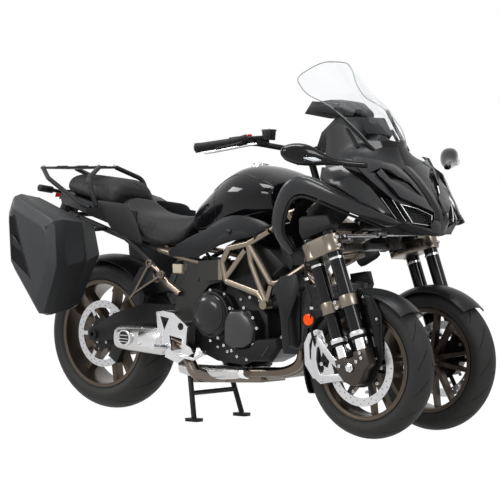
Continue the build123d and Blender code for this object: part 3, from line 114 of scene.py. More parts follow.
def grain_group():
    """Moulded or cast grain: a fine height and a broad tone that varies from 0 to 1."""
    group, start, end = new_group("moulded_grain", {"Scale": 900.0, "Spread": 6.0}, ("Height", "Tone"))
    cells = group.nodes.new("ShaderNodeTexVoronoi")
    group.links.new(start.outputs["Vector"], cells.inputs["Vector"])
    group.links.new(start.outputs["Scale"], cells.inputs["Scale"])
    fine = noise_node(group, start.outputs["Vector"], start.outputs["Scale"], 2.0)
    height = math_node(group, "ADD", math_node(group, "MULTIPLY", cells.outputs["Distance"], 0.6), fine)
    broad = noise_node(group, start.outputs["Vector"], start.outputs["Spread"], 4.0, 0.6)
    group.links.new(height, end.inputs["Height"])
    group.links.new(broad, end.inputs["Tone"])
    return group


def brushed_group():
    """Turned or brushed metal: lines across the given vector's Y and Z."""
    group, start, end = new_group("brushed_lines", {"Scale": 240.0}, ("Height", "Tone"))
    stretch = group.nodes.new("ShaderNodeMapping")
    stretch.inputs["Scale"].default_value = (0.06, 1.0, 1.0)
    group.links.new(start.outputs["Vector"], stretch.inputs["Vector"])
    lines = noise_node(group, stretch.outputs["Vector"], start.outputs["Scale"], 2.0, 0.7)
    broad = noise_node(group, start.outputs["Vector"], 9.0, 3.0)
    group.links.new(lines, end.inputs["Height"])
    group.links.new(broad, end.inputs["Tone"])
    return group


def road_group():
    """Road dust: strongest near the floor, broken up by noise."""
    group, start, end = new_group("road_dust", {"Reach": 0.35, "Amount": 0.5}, ("Mask",))
    split = group.nodes.new("ShaderNodeSeparateXYZ")
    group.links.new(start.outputs["Vector"], split.inputs["Vector"])
    fall = math_node(
        group, "SUBTRACT", 1.0, math_node(group, "DIVIDE", split.outputs["Z"], start.outputs["Reach"]), True)
    patches = noise_node(group, start.outputs["Vector"], 14.0, 5.0, 0.65)
    fine = noise_node(group, start.outputs["Vector"], 160.0, 2.0)
    mixed = math_node(group, "MULTIPLY", patches, math_node(group, "ADD", fine, 0.4))
    mask = math_node(group, "MULTIPLY", math_node(group, "MULTIPLY", mixed, fall), start.outputs["Amount"])
    group.links.new(math_node(group, "MULTIPLY", mask, 1.0, True), end.inputs["Mask"])
    return group


def plane_group():
    """1 beyond a plane: X, the distance from the middle plane and Z are weighed and summed."""
    group, start, end = new_group(
        "beyond_plane", {"Along": 0.0, "Aside": 0.0, "Up": 0.0, "Edge": 0.0}, ("Mask",))
    split = group.nodes.new("ShaderNodeSeparateXYZ")
    group.links.new(start.outputs["Vector"], split.inputs["Vector"])
    along = math_node(group, "MULTIPLY", split.outputs["X"], start.outputs["Along"])
    aside = math_node(
        group, "MULTIPLY", math_node(group, "ABSOLUTE", split.outputs["Y"]), start.outputs["Aside"])
    upward = math_node(group, "MULTIPLY", split.outputs["Z"], start.outputs["Up"])
    total = math_node(group, "ADD", math_node(group, "ADD", along, aside), upward)
    group.links.new(math_node(group, "GREATER_THAN", total, start.outputs["Edge"]), end.inputs["Mask"])
    return group


def ring_group():
    """1 outside a circle round an axle."""
    group, start, end = new_group("outside_ring", {"Axle_X": 0.0, "Axle_Z": 0.0, "Radius": 0.1}, ("Mask",))
    split = group.nodes.new("ShaderNodeSeparateXYZ")
    group.links.new(start.outputs["Vector"], split.inputs["Vector"])
    squares = []
    for axis in "XZ":
        away = math_node(group, "SUBTRACT", split.outputs[axis], start.outputs[f"Axle_{axis}"])
        squares.append(math_node(group, "MULTIPLY", away, away))
    reach = math_node(group, "SQRT", math_node(group, "ADD", *squares))
    group.links.new(math_node(group, "GREATER_THAN", reach, start.outputs["Radius"]), end.inputs["Mask"])
    return group


groups = {
    "grain": grain_group(), "brushed": brushed_group(), "dust": road_group(), "plane": plane_group(),
    "ring": ring_group()}

# ---- Finishes ----

plain_specular = 0.16  # specular level of what isn't metal, unless a finish says otherwise


class Finish:
    """A node material built round one Principled BSDF, with Object coordinates."""

    def __init__(self, name, colour, roughness, metallic=0.0, **sockets):
        self.material = bpy.data.materials.new(f"{name}_finish")
        self.material.use_nodes = True
        self.tree = self.material.node_tree
        self.shader = self.tree.nodes["Principled BSDF"]
        self.colour = (*colour, 1.0)
        self.roughness = roughness
        set_inputs(self.shader, Base_Color=self.colour, Roughness=roughness, Metallic=metallic)
        if metallic < 0.5:
            set_inputs(self.shader, Specular_IOR_Level=plain_specular)
        set_inputs(self.shader, **sockets)
        self.vector = self.tree.nodes.new("ShaderNodeTexCoord").outputs["Object"]

    def group(self, name, **values):
        """Places a shared group and gives back the node."""
        node = self.tree.nodes.new("ShaderNodeGroup")
        node.node_tree = groups[name]
        self.tree.links.new(self.vector, node.inputs["Vector"])
        for socket, value in values.items():
            node.inputs[socket].default_value = value
        return node

    def mapped(self, mask, low, high):
        """A Map Range of a 0 to 1 mask onto low to high."""
        node = self.tree.nodes.new("ShaderNodeMapRange")
        set_inputs(node, To_Min=low, To_Max=high)
        self.tree.links.new(mask, node.inputs["Value"])
        return node.outputs["Result"]

    def vary_roughness(self, mask, spread):
        self.tree.links.new(self.mapped(
            mask, max(0.02, self.roughness - spread),
            self.roughness + spread), self.shader.inputs["Roughness"])
        return self

    def vary_colour(self, mask, other, low=0.0, high=1.0):
        """Mixes the base colour towards another by a mask."""
        mix = self.tree.nodes.new("ShaderNodeMix")
        mix.data_type = "RGBA"
        before = self.shader.inputs["Base Color"]
        if before.is_linked:
            self.tree.links.new(before.links[0].from_socket, mix.inputs["A"])
        else:
            mix.inputs["A"].default_value = self.colour
        mix.inputs["B"].default_value = (*other, 1.0)
        self.tree.links.new(self.mapped(mask, low, high), mix.inputs["Factor"])
        self.tree.links.new(mix.outputs["Result"], before)
        return self

    def bump(self, height, strength, distance=0.0004):
        node = self.tree.nodes.new("ShaderNodeBump")
        set_inputs(node, Strength=strength, Distance=distance)
        self.tree.links.new(height, node.inputs["Height"])
        normal = self.shader.inputs["Normal"]
        if normal.is_linked:
            self.tree.links.new(normal.links[0].from_socket, node.inputs["Normal"])
        self.tree.links.new(node.outputs["Normal"], normal)
        return self

    def grained(self, scale, strength, spread, other=None):
        """Moulded grain over the piece: height, roughness and a little tone."""
        grain = self.group("grain", Scale=scale, Spread=6.0)
        self.bump(grain.outputs["Height"], strength)
        self.vary_roughness(grain.outputs["Tone"], spread)
        if other:
            self.vary_colour(grain.outputs["Tone"], other)
        return self

    def brushed(self, scale, strength, spread, other=None):
        """Fine lines along X."""
        lines = self.group("brushed", Scale=scale)
        self.bump(lines.outputs["Height"], strength, 0.0002)
        self.vary_roughness(lines.outputs["Height"], spread)
        if other:
            self.vary_colour(lines.outputs["Tone"], other)
        return self

    def split_by(self, mask, colour, roughness, metallic):
        """Another colour, roughness and metal where a mask is 1."""
        self.vary_colour(mask, colour)
        for socket, value in (("Roughness", roughness), ("Metallic", metallic)):
            place = self.shader.inputs[socket]
            mix = self.tree.nodes.new("ShaderNodeMix")
            if place.is_linked:
                self.tree.links.new(place.links[0].from_socket, mix.inputs["A"])
            else:
                mix.inputs["A"].default_value = place.default_value
            mix.inputs["B"].default_value = value
            self.tree.links.new(mask, mix.inputs["Factor"])
            self.tree.links.new(mix.outputs["Result"], place)
        return self

    def dusty(self, reach, amount, tone=(0.20, 0.18, 0.155)):
        dust = self.group("dust", Reach=reach, Amount=amount)
        return self.vary_colour(dust.outputs["Mask"], tone)


def gloss_paint(name, colour, roughness=0.12, grain=0.04):
    """Lacquered paint: a base under a clear coat with faint orange peel."""
    made = Finish(
        name, colour, roughness, 0.0, Specular_IOR_Level=0.08, Coat_Weight=0.26, Coat_Roughness=0.03)
    peel = made.group("grain", Scale=380.0, Spread=4.0)
    made.bump(peel.outputs["Height"], grain, 0.0001)
    made.vary_roughness(peel.outputs["Tone"], 0.04)
    return made


def keep(made):
    """Gives back a finish's material."""
    return made.material


def grained_finish(name, slot, colour, roughness, metallic, grain, other=None, dust=None, **sockets):
    """A moulded or cast finish; grain is its scale, its strength and the spread of roughness."""
    made = Finish(name, colour, roughness, metallic, **sockets).grained(*grain, other)
    return keep(made.dusty(*dust) if dust else made)


def brushed_metal(name, colour, roughness, lines, other=None):
    """A metal with fine lines; lines is their scale, their strength and the spread of roughness."""
    return keep(Finish(name, colour, roughness, 1.0).brushed(*lines, other))


cowl_black = keep(gloss_paint("cowl_lacquer", (0.005, 0.005, 0.006), 0.14))
tank_black = keep(gloss_paint("tank_lacquer", (0.004, 0.004, 0.005), 0.08))
satin_plastic = grained_finish(
    "satin_moulding", "satin_plastic", (0.009, 0.0095, 0.0105), 0.36, 0.0, (1400.0, 0.12, 0.08),
    (0.013, 0.0135, 0.0145))
matt_plastic = grained_finish(
    "matt_moulding", "satin_plastic", (0.005, 0.005, 0.0055), 0.52, 0.0, (1100.0, 0.25, 0.08),
    (0.008, 0.008, 0.0085))
case_shell = grained_finish(
    "case_shell", "case_plastic", (0.015, 0.0155, 0.0165), 0.42, 0.0, (900.0, 0.22, 0.07),
    (0.019, 0.0195, 0.0205), dust=(0.5, 0.08))
case_panel = grained_finish(
    "case_panel", "case_plastic", (0.040, 0.041, 0.044), 0.36, 0.0, (1200.0, 0.15, 0.06),
    (0.046, 0.047, 0.050))
fork_bronze = grained_finish(
    "fork_bronze", "fork_bronze", (0.20, 0.172, 0.142), 0.30, 0.95, (650.0, 0.12, 0.06), (0.15, 0.128, 0.104))
rim_bronze = grained_finish(
    "rim_bronze", "rim_bronze", (0.070, 0.055, 0.042), 0.32, 0.85, (700.0, 0.08, 0.06), (0.090, 0.070, 0.053),
    dust=(0.5, 0.12))
fork_black = keep(gloss_paint("fork_black", (0.008, 0.008, 0.009), 0.16))
chrome = brushed_metal("chrome", (0.78, 0.78, 0.79), 0.07, (500.0, 0.02, 0.03))
polished = brushed_metal(
    "polished_alloy", (0.66, 0.66, 0.67), 0.24, (420.0, 0.05, 0.08), (0.56, 0.56, 0.57))
cast_alloy = grained_finish(
    "cast_alloy", "engine_casing", (0.46, 0.46, 0.47), 0.42, 0.9, (520.0, 0.25, 0.08), (0.38, 0.38, 0.39))
engine_cast = grained_finish(
    "engine_casting", "engine_casing", (0.020, 0.020, 0.021), 0.4, 0.4, (480.0, 0.35, 0.08),
    (0.032, 0.031, 0.031), dust=(0.5, 0.12))
chassis_black = grained_finish(
    "chassis_black", "chassis_black", (0.010, 0.010, 0.011), 0.34, 0.1, (620.0, 0.12, 0.06),
    (0.014, 0.014, 0.015), dust=(0.5, 0.1))
muffler_steel = brushed_metal(
    "muffler_steel", (0.58, 0.57, 0.56), 0.26, (300.0, 0.08, 0.1), (0.48, 0.47, 0.46))
tyre_rubber = grained_finish(
    "tyre_rubber", "tyre_rubber", (0.022, 0.022, 0.0225), 0.62, 0.0, (800.0, 0.25, 0.1),
    (0.030, 0.0295, 0.029), dust=(0.42, 0.12))
seat_cover = grained_finish(
    "seat_cover", "seat_cover", (0.0095, 0.0095, 0.010), 0.58, 0.0, (420.0, 0.3, 0.08),
    (0.013, 0.013, 0.0135))
rubber = grained_finish("grip_rubber", "control_black", (0.010, 0.010, 0.010), 0.6, 0.0, (900.0, 0.3, 0.08))
link_steel = brushed_metal("link_steel", (0.50, 0.50, 0.51), 0.3, (300.0, 0.06, 0.1))
caliper_alloy = grained_finish(
    "caliper_alloy", "caliper_alloy", (0.58, 0.58, 0.59), 0.36, 0.95, (560.0, 0.16, 0.06), (0.50, 0.50, 0.51))
lean_alloy = grained_finish(
    "lean_arm_alloy", "lean_arm_alloy", (0.030, 0.028, 0.026), 0.36, 0.6, (560.0, 0.2, 0.06),
    (0.045, 0.041, 0.037))
radiator_fins = Finish("radiator_fins", (0.030, 0.030, 0.033), 0.5, 0.6)
fins = radiator_fins.tree.nodes.new("ShaderNodeTexWave")
fins.bands_direction = "Z"
fins.inputs["Scale"].default_value = 160.0
radiator_fins.tree.links.new(radiator_fins.vector, fins.inputs["Vector"])
radiator_fins.bump(fins.outputs["Fac"], 0.6, 0.001)
# The fin bands also set the colour: the raised crests are painted lighter and the gaps between fins darker,
# painted light and shade on top of the bump.
radiator_fins.vary_colour(fins.outputs["Fac"], (0.075, 0.075, 0.08))
radiator_fins = radiator_fins.material


def clear_finish(name, tint, roughness, ior, opacity, rim_share=0.5):
    """Clear plastic or glass: a thin transparent sheet with its own reflections."""
    made = Finish(name, tint, roughness, 0.0, IOR=ior, Transmission_Weight=1.0)
    tree = made.tree
    through = tree.nodes.new("ShaderNodeBsdfTransparent")
    through.inputs["Color"].default_value = (*tint, 1.0)
    rim = tree.nodes.new("ShaderNodeLayerWeight")
    rim.inputs["Blend"].default_value = 0.25
    mix = tree.nodes.new("ShaderNodeMixShader")
    edge = math_node(tree, "MULTIPLY_ADD", rim.outputs["Facing"], rim_share)
    edge.node.inputs[2].default_value = opacity
    tree.links.new(edge, mix.inputs[0])
    tree.links.new(through.outputs[0], mix.inputs[1])
    tree.links.new(made.shader.outputs[0], mix.inputs[2])
    tree.links.new(mix.outputs[0], tree.nodes["Material Output"].inputs["Surface"])
    smear = made.group("grain", Scale=60.0, Spread=5.0)
    made.vary_roughness(smear.outputs["Tone"], 0.02)
    return made


cowl_satin = grained_finish(
    "cowl_satin", "cowl_paint", (0.015, 0.0155, 0.017), 0.30, 0.0, (1500.0, 0.06, 0.05),
    (0.024, 0.0245, 0.026), Specular_IOR_Level=0.12, Coat_Weight=0.32, Coat_Roughness=0.12)
case_gloss = grained_finish(
    "case_gloss", "case_plastic", (0.001, 0.001, 0.0012), 0.22, 0.0, (500.0, 0.03, 0.03),
    Specular_IOR_Level=0.04)
red_switch = grained_finish(
    "red_switch", "control_black", (0.42, 0.012, 0.010), 0.42, 0.0, (900.0, 0.08, 0.08))
cover_black = grained_finish(
    "cover_black", "engine_casing", (0.012, 0.0125, 0.013), 0.30, 0.2, (900.0, 0.1, 0.05),
    (0.016, 0.0165, 0.017), Coat_Weight=0.3)
cover_smoke = grained_finish(
    "cover_smoke", "engine_casing", (0.060, 0.060, 0.062), 0.30, 0.7, (700.0, 0.12, 0.06),
    (0.045, 0.045, 0.047))
pipe_dark = brushed_metal(
    "pipe_dark", (0.10, 0.085, 0.07), 0.26, (260.0, 0.05, 0.08), (0.14, 0.11, 0.085))
mirror_black = keep(gloss_paint("mirror_black", (0.006, 0.006, 0.007), 0.14))
amber_back = grained_finish("amber_back", "lamp_glass", (1.0, 0.34, 0.03), 0.35, 0.0, (500.0, 0.3, 0.08))
cream_tank = grained_finish(
    "cream_tank", "chassis_black", (0.62, 0.56, 0.44), 0.45, 0.0, (600.0, 0.08, 0.06), (0.55, 0.48, 0.36),
    Subsurface_Weight=0.2)
thread = grained_finish("thread", "seat_cover", (0.060, 0.060, 0.062), 0.8, 0.0, (2600.0, 0.4, 0.08))
mirror_glass = grained_finish(
    "mirror_glass", "satin_plastic", (0.72, 0.73, 0.74), 0.04, 1.0, (60.0, 0.01, 0.01))
display_glass = keep(gloss_paint("display_glass", (0.004, 0.0045, 0.006), 0.08, 0.01))
lamp_bright = grained_finish(
    "lamp_bright", "lamp_glass", (0.82, 0.83, 0.85), 0.12, 0.2, (180.0, 0.05, 0.04), Coat_Weight=1.0)
screen_clear = keep(clear_finish("screen_clear", (0.975, 0.98, 0.985), 0.03, 1.2, 0.02, 0.22))
lamp_lens = keep(clear_finish("lamp_lens", (0.92, 0.94, 0.95), 0.02, 1.35, 0.25))


def two_tone(finish, kind, colour, roughness, metallic, **edges):
    """A second finish on the far side of a plane or ring."""
    mask = finish.group(kind, **edges)
    return finish.split_by(mask.outputs["Mask"], colour, roughness, metallic).material


fork_tubes = two_tone(
    gloss_paint("fork_tubes", (0.008, 0.008, 0.009), 0.16), "plane", (0.80, 0.80, 0.81), 0.06, 1.0,
    Along=sin(caster_angle), Up=-cos(caster_angle), Edge=-0.0904)
front_disc = two_tone(
    Finish("front_disc", (0.020, 0.020, 0.021), 0.4, 0.3), "ring", (0.56, 0.56, 0.57), 0.26, 1.0,
    Axle_X=front_x * MM, Axle_Z=front_z * MM, Radius=0.1165)
exhaust_steel = two_tone(
    Finish("exhaust_steel", (0.16, 0.135, 0.115), 0.3, 1.0), "plane", (0.60, 0.59, 0.57), 0.22, 1.0,
    Along=-1.0, Edge=0.2)
caliper_tone = two_tone(
    Finish("caliper_tone", (0.018, 0.018, 0.019), 0.35), "plane", (0.52, 0.52, 0.53), 0.34, 0.95, Aside=1.0,
    Edge=0.2935)
trellis = Finish("trellis", (0.215, 0.18, 0.142), 0.30, 0.95)
behind_pivot = trellis.group("plane", Along=-1.0, Edge=-0.045)
below_rails = trellis.group("plane", Up=-1.0, Edge=-0.43)
for part_mask in (behind_pivot, below_rails):
    trellis.split_by(part_mask.outputs["Mask"], (0.014, 0.013, 0.012), 0.4, 0.3)
trellis = trellis.material
clamp_bronze = two_tone(
    Finish("clamp_bronze", (0.20, 0.172, 0.142), 0.30, 0.95), "plane", (0.055, 0.047, 0.04), 0.38, 0.85,
    Along=sin(caster_angle), Up=-cos(caster_angle), Edge=-0.06)
rear_disc = two_tone(
    Finish("rear_disc", (0.020, 0.020, 0.021), 0.4, 0.3), "ring", (0.50, 0.50, 0.51), 0.3, 1.0,
    Axle_X=rear_x * MM, Axle_Z=rear_z * MM, Radius=0.086)
rear_frame = two_tone(
    Finish("rear_frame", (0.022, 0.022, 0.024), 0.4, 0.1), "plane", (0.22, 0.18, 0.14), 0.32, 0.95, Along=1.0,
    Edge=-0.33)
amber_lens = keep(clear_finish("amber_lens", (1.0, 0.42, 0.06), 0.12, 1.4, 0.35))
red_lens = keep(clear_finish("red_lens", (0.40, 0.010, 0.010), 0.10, 1.4, 0.75))
# Opaque grey for the screen's edge line: painted shade and reflection of the clear sheet's edge.
painted_screen_edge = grained_finish("painted_screen_edge", "clear_screen", (0.16, 0.165, 0.17), 0.25, 0.0, (500.0, 0.02, 0.04))

dressed_in = (
    (engine_cast, "engine"), (exhaust_steel, "exhaust"), (trellis, "main_frame"),
    (rear_frame, "rear_subframe"),
    (chassis_black, "swingarm shock_absorber handlebar centre_stand side_stand"),
    (link_steel, "drive_chain relay_arm tie_rod_right tie_rod_left drag_link"), (radiator_fins, "radiator"),
    (tank_black, "fuel_tank"), (seat_cover, "rider_seat pillion_seat"),
    (satin_plastic, "side_panels tail_cowl luggage_rack tail_lights instrument_housing mirrors"),
    (satin_plastic, "front_fender_right front_fender_left"), (cowl_black, "nose_cowl arch_cowls"),
    (lamp_lens, "headlamps"), (screen_clear, "windscreen"), (lean_alloy, "lean_arms"),
    (polished, "footrests"), (case_shell, "case_tubs case_lid_right case_lid_left"),
    (rubber, "hand_controls"), (tyre_rubber, "rear_tyre front_tyre_right front_tyre_left"),
    (rim_bronze, "rear_rim front_rim_right front_rim_left"), (rear_disc, "rear_disc_and_sprocket"),
    (front_disc, "front_disc_right front_disc_left"), (fork_tubes, "fork_tubes_right fork_tubes_left"),
    (clamp_bronze, "fork_clamps_right fork_clamps_left"),
    (caliper_tone, "front_caliper_right front_caliper_left"))
finishes = {name: material for material, names in dressed_in for name in names.split()}


def shade_by_angle(sharper_than):
    """A geometry group that shades faces smooth and keeps the edges sharper than an angle."""
    group = bpy.data.node_groups.new("shade_by_angle", "GeometryNodeTree")
    for way in ("INPUT", "OUTPUT"):
        group.interface.new_socket(name="Geometry", in_out=way, socket_type="NodeSocketGeometry")
    start, end = group.nodes.new("NodeGroupInput"), group.nodes.new("NodeGroupOutput")
    faces = group.nodes.new("GeometryNodeSetShadeSmooth")
    edges = group.nodes.new("GeometryNodeSetShadeSmooth")
    edges.domain = "EDGE"
    edges.inputs["Shade Smooth"].default_value = False
    angle = group.nodes.new("GeometryNodeInputMeshEdgeAngle")
    sharp = math_node(group, "GREATER_THAN", angle.outputs["Unsigned Angle"], sharper_than)
    group.links.new(sharp, edges.inputs["Selection"])
    group.links.new(start.outputs[0], faces.inputs["Geometry"])
    group.links.new(faces.outputs["Geometry"], edges.inputs["Geometry"])
    group.links.new(edges.outputs["Geometry"], end.inputs[0])
    return group


shading = shade_by_angle(radians(36))
# Width in millimetres of the rounding that each solid's sharp edges show.
edge_widths = {
    name: width
    for width, names in (
        (1.0, "hand_controls"), (1.2, "tail_lights"),
        (1.5, "radiator luggage_rack front_caliper_right front_caliper_left footrests centre_stand"),
        (2.0, "engine lean_arms swingarm"), (2.5, "side_panels tail_cowl"),
        (3.0, "fork_clamps_right fork_clamps_left instrument_housing"), (5.0, "case_tubs"),
        (6.0, "case_lid_right case_lid_left")) for name in names.split()}


def dress(solid, material, width):
    """Gives a solid one finish, and rounded, smoothly shaded edges on top of its own mesh."""
    solid.data.materials.clear()
    solid.data.materials.append(material)
    weld = solid.modifiers.new("weld", "WELD")
    weld.merge_threshold = 0.01 * MM
    if width:
        flatten = solid.modifiers.new("flatten", "DECIMATE")
        flatten.decimate_type = "DISSOLVE"
        flatten.angle_limit = radians(0.5)
        edge = solid.modifiers.new("edge", "BEVEL")
        edge.width, edge.segments = width * MM, 2
        edge.limit_method = "ANGLE"
        edge.angle_limit = radians(EDGE_ANGLE)
    solid.modifiers.new("shading", "NODES").node_group = shading


for name, solid in solids.items():
    dress(solid, finishes[name], edge_widths.get(name, 0))

# ---- Making tools ----


def at(x, y, z):
    """A point in metres from millimetres."""
    return Vector((x, y, z)) * MM


def at_height(z, points):
    """Points (x, y) of one height."""
    return [at(x, y, z) for x, y in points]


def at_side(y, points):
    """Points (x, z) of one distance from the middle plane."""
    return [at(x, y, z) for x, z in points]


def at_length(x, side, points):
    """Points (y, z) of one place along the machine, on the side that is 1 or -1."""
    return [at(x, side * y, z) for y, z in points]


def right(*rows):
    """Points of the right half: each row is x, distance from the middle plane, z, in millimetres."""
    return [at(x, -y, z) for x, y, z in rows]


def caster(u, v, w):
    """A point of the steering frame, in millimetres, in the part's own frame in metres."""
    return at(
        777.1 + u * cos(caster_angle) - w * sin(caster_angle), v,
        266.2 + u * sin(caster_angle) + w * cos(caster_angle))


caster_up = Vector((-sin(caster_angle), 0, cos(caster_angle)))


def deselect():
    if bpy.context.mode != "OBJECT":
        bpy.ops.object.mode_set(mode="OBJECT")
    bpy.ops.object.select_all(action="DESELECT")


def primitive(operator, **values):
    """Adds a primitive with nothing else selected, and gives back its object."""
    deselect()
    operator(**values)
    return bpy.context.object


def only(piece):
    """Makes a piece the one that is selected and active."""
    deselect()
    piece.select_set(True)
    bpy.context.view_layer.objects.active = piece


def edit(piece, mode="VERT", everything=True):
    """Goes into edit mode on a piece with all or nothing selected."""
    only(piece)
    bpy.ops.object.mode_set(mode="EDIT")
    bpy.ops.mesh.select_mode(type=mode)
    bpy.ops.mesh.select_all(action="SELECT" if everything else "DESELECT")


def leave():
    bpy.ops.object.mode_set(mode="OBJECT")


def pick_faces(piece, test):
    """Selects the faces that pass a test, ready for an edit-mode operator."""
    edit(piece, "FACE", False)
    leave()
    for face in piece.data.polygons:
        face.select = test(face)
    bpy.ops.object.mode_set(mode="EDIT")
    bpy.ops.mesh.select_mode(type="FACE")


def faced_out(piece, merge=False):
    """Points every face outwards."""
    edit(piece)
    if merge:
        bpy.ops.mesh.remove_doubles(threshold=MERGE)
    bpy.ops.mesh.normals_make_consistent(inside=False)
    leave()
    return piece


def outward(piece):
    """Merges doubles and points every face outwards."""
    return faced_out(piece, True)


def modify(piece, kind, **values):
    """Adds a modifier, sets it and applies it."""
    only(piece)
    modifier = piece.modifiers.new(kind.lower(), kind)
    for name, value in values.items():
        setattr(modifier, name, value)
    bpy.ops.object.modifier_apply(modifier=modifier.name)
    return piece


def rounded(piece, width, segments=2, angle=EDGE_ANGLE):
    """Rounds the sharp edges; width in millimetres."""
    return modify(
        piece, "BEVEL", width=width * MM, segments=segments, limit_method="ANGLE", angle_limit=radians(angle),
        harden_normals=False)


def walled(piece, thickness):
    """Gives a sheet a wall inwards; thickness in millimetres."""
    return modify(piece, "SOLIDIFY", thickness=thickness * MM, offset=-1.0)


def smoothed(piece, levels):
    return modify(piece, "SUBSURF", levels=levels, render_levels=levels)


def other_side(piece):
    """Mirrors a piece about the middle plane into the same mesh."""
    return modify(piece, "MIRROR", use_axis=(False, True, False), merge_threshold=0.1 * MM)


def done(piece, name, material, body, angle=38, stands_for=()):
    """Names and finishes a piece, and lets it ride on its body."""
    only(piece)
    bpy.ops.object.transform_apply(location=True, rotation=True, scale=True)
    if angle:
        bpy.ops.object.shade_smooth_by_angle(angle=radians(angle))
    else:
        bpy.ops.object.shade_smooth()
    piece.name = name
    piece.data.name = name
    piece.data.materials.clear()
    piece.data.materials.append(material)
    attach(piece, body)
    if stands_for:
        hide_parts(*stands_for)
    deselect()
    return piece


def fixed(piece, name, material, angle=38, stands_for=()):
    """Finishes a piece that rides on the chassis."""
    done(piece, name, material, body="chassis", angle=angle, stands_for=stands_for)


def twin(piece):
    """A copy with its own mesh, mirrored about the middle plane."""
    made = piece.copy()
    made.data = piece.data.copy()
    bpy.context.scene.collection.objects.link(made)
    made.data.transform(Matrix.Scale(-1, 4, (0, 1, 0)))
    made.data.flip_normals()
    return made


def both(piece, name, material, bodies, angle=38):
    """Finishes a right-hand piece and its left-hand copy, each on its own body."""
    copy = twin(piece)
    for made, side, body in ((piece, "right", bodies[-1]), (copy, "left", bodies[1])):
        done(made, f"{name}_{side}", material, body, angle)


def joined(pieces):
    """One piece from several."""
    deselect()
    for piece in pieces:
        piece.select_set(True)
    bpy.context.view_layer.objects.active = pieces[0]
    if len(pieces) > 1:
        bpy.ops.object.join()
    return pieces[0]


def sheet(rows):
    """A grid primitive with its vertices placed on rows of points."""
    piece = primitive(
        bpy.ops.mesh.primitive_grid_add, x_subdivisions=len(rows[0]) - 1, y_subdivisions=len(rows) - 1,
        size=1)
    points = [point for row in rows for point in row]
    for vertex, point in zip(piece.data.vertices, points, strict=True):
        vertex.co = point
    return piece


def body_of(rings, capped=True):
    """A closed body through rings of points; each ring has the same count."""
    piece = sheet([[*ring, ring[0]] for ring in rings])
    edit(piece)
    bpy.ops.mesh.remove_doubles(threshold=MERGE)
    if capped:
        bpy.ops.mesh.select_all(action="SELECT")
        bpy.ops.mesh.fill_holes(sides=0)
    leave()
    return outward(piece)


def face_of(points):
    """One flat face: a filled circle primitive with its vertices placed."""
    piece = primitive(bpy.ops.mesh.primitive_circle_add, vertices=len(points), radius=1, fill_type="NGON")
    for vertex, point in zip(piece.data.vertices, points, strict=True):
        vertex.co = point
    return piece


def pulled(piece, along, length):
    """Extrudes all faces along a direction; length in millimetres."""
    edit(piece, "FACE")
    bpy.ops.mesh.extrude_region_move(
        TRANSFORM_OT_translate={"value": Vector(along).normalized() * length * MM})
    leave()
    return outward(piece)


def plate_of(points, grow, thickness):
    """A flat plate that grows from its outline along a direction; thickness in millimetres."""
    return pulled(face_of(points), grow, thickness)


def turned(profile, centre, along, steps=48):
    """Spins a profile of (radius, distance along) in millimetres round an axis; open at the axis."""
    along = Vector(along).normalized()
    side = along.orthogonal().normalized()
    piece = primitive(bpy.ops.mesh.primitive_circle_add, vertices=len(profile), radius=1, fill_type="NOTHING")
    centre = Vector(centre)
    for vertex, (radius, run) in zip(piece.data.vertices, profile, strict=True):
        vertex.co = centre + side * radius * MM + along * run * MM
    loop = profile[0][0] > 0 or profile[-1][0] > 0
    if not loop:
        edit(piece, "EDGE", False)
        leave()
        ends = {0, len(profile) - 1}
        for line in piece.data.edges:
            line.select = set(line.vertices) == ends
        bpy.ops.object.mode_set(mode="EDIT")
        bpy.ops.mesh.delete(type="EDGE")
        leave()
    edit(piece)
    bpy.ops.mesh.spin(steps=steps, angle=radians(360), center=centre, axis=along)
    leave()
    return outward(piece)


def hose(points, radius, steps=10, smooth=True):
    """A round tube along a smooth line through its points; radius in millimetres."""
    line = primitive(bpy.ops.curve.primitive_nurbs_path_add)
    curve = line.data
    curve.splines.clear()
    spline = curve.splines.new("NURBS" if smooth else "POLY")
    spline.points.add(len(points) - 1)
    for place, point in zip(spline.points, points):
        place.co = (*point, 1)
    if smooth:
        spline.order_u = 3
        spline.use_endpoint_u = True
        spline.resolution_u = steps
    curve.bevel_depth = radius * MM
    curve.bevel_resolution = 3
    curve.use_fill_caps = True
    only(line)
    bpy.ops.object.convert(target="MESH")
    return outward(bpy.context.object)


def turn_to(along):
    """The matrix that turns +Z to a direction."""
    return Vector(along).normalized().to_track_quat("Z", "Y").to_matrix().to_4x4()


def set_out(source, places):
    """Copies of a unit piece, modelled along +Z at the origin: (place, direction, scale) each."""
    made = []
    for place, along, size in places:
        copy = source.copy()
        copy.data = source.data.copy()
        copy.data.transform(Matrix.Translation(Vector(place)) @ turn_to(along) @ Matrix.Scale(size, 4))
        bpy.context.scene.collection.objects.link(copy)
        made.append(copy)
    return joined(made)


def socket_bolt():
    """A cap bolt head of 1 mm radius with a hexagon socket, along +Z from the origin."""
    head = primitive(
        bpy.ops.mesh.primitive_cylinder_add, vertices=18, radius=MM, depth=1.1 * MM,
        location=(0, 0, 0.55 * MM))
    bpy.ops.object.transform_apply()
    pick_faces(head, lambda face: face.normal.z > 0.9)
    bpy.ops.mesh.inset(thickness=0.12 * MM, depth=0.1 * MM)
    bpy.ops.mesh.inset(thickness=0.36 * MM)
    bpy.ops.mesh.extrude_region_move(TRANSFORM_OT_translate={"value": (0, 0, -0.6 * MM)})
    leave()
    return outward(head)


def drop(piece):
    """Removes a source that was only copied."""
    mesh = piece.data
    bpy.data.objects.remove(piece)
    bpy.data.meshes.remove(mesh)

def circle_of(centre, radius, count, first=0.0):
    """Points evenly spaced round a centre, from an angle in degrees on."""
    turns = [radians(first + 360 * turn / count) for turn in range(count)]
    return [(centre[0] + radius * cos(a), centre[1] + radius * sin(a)) for a in turns]


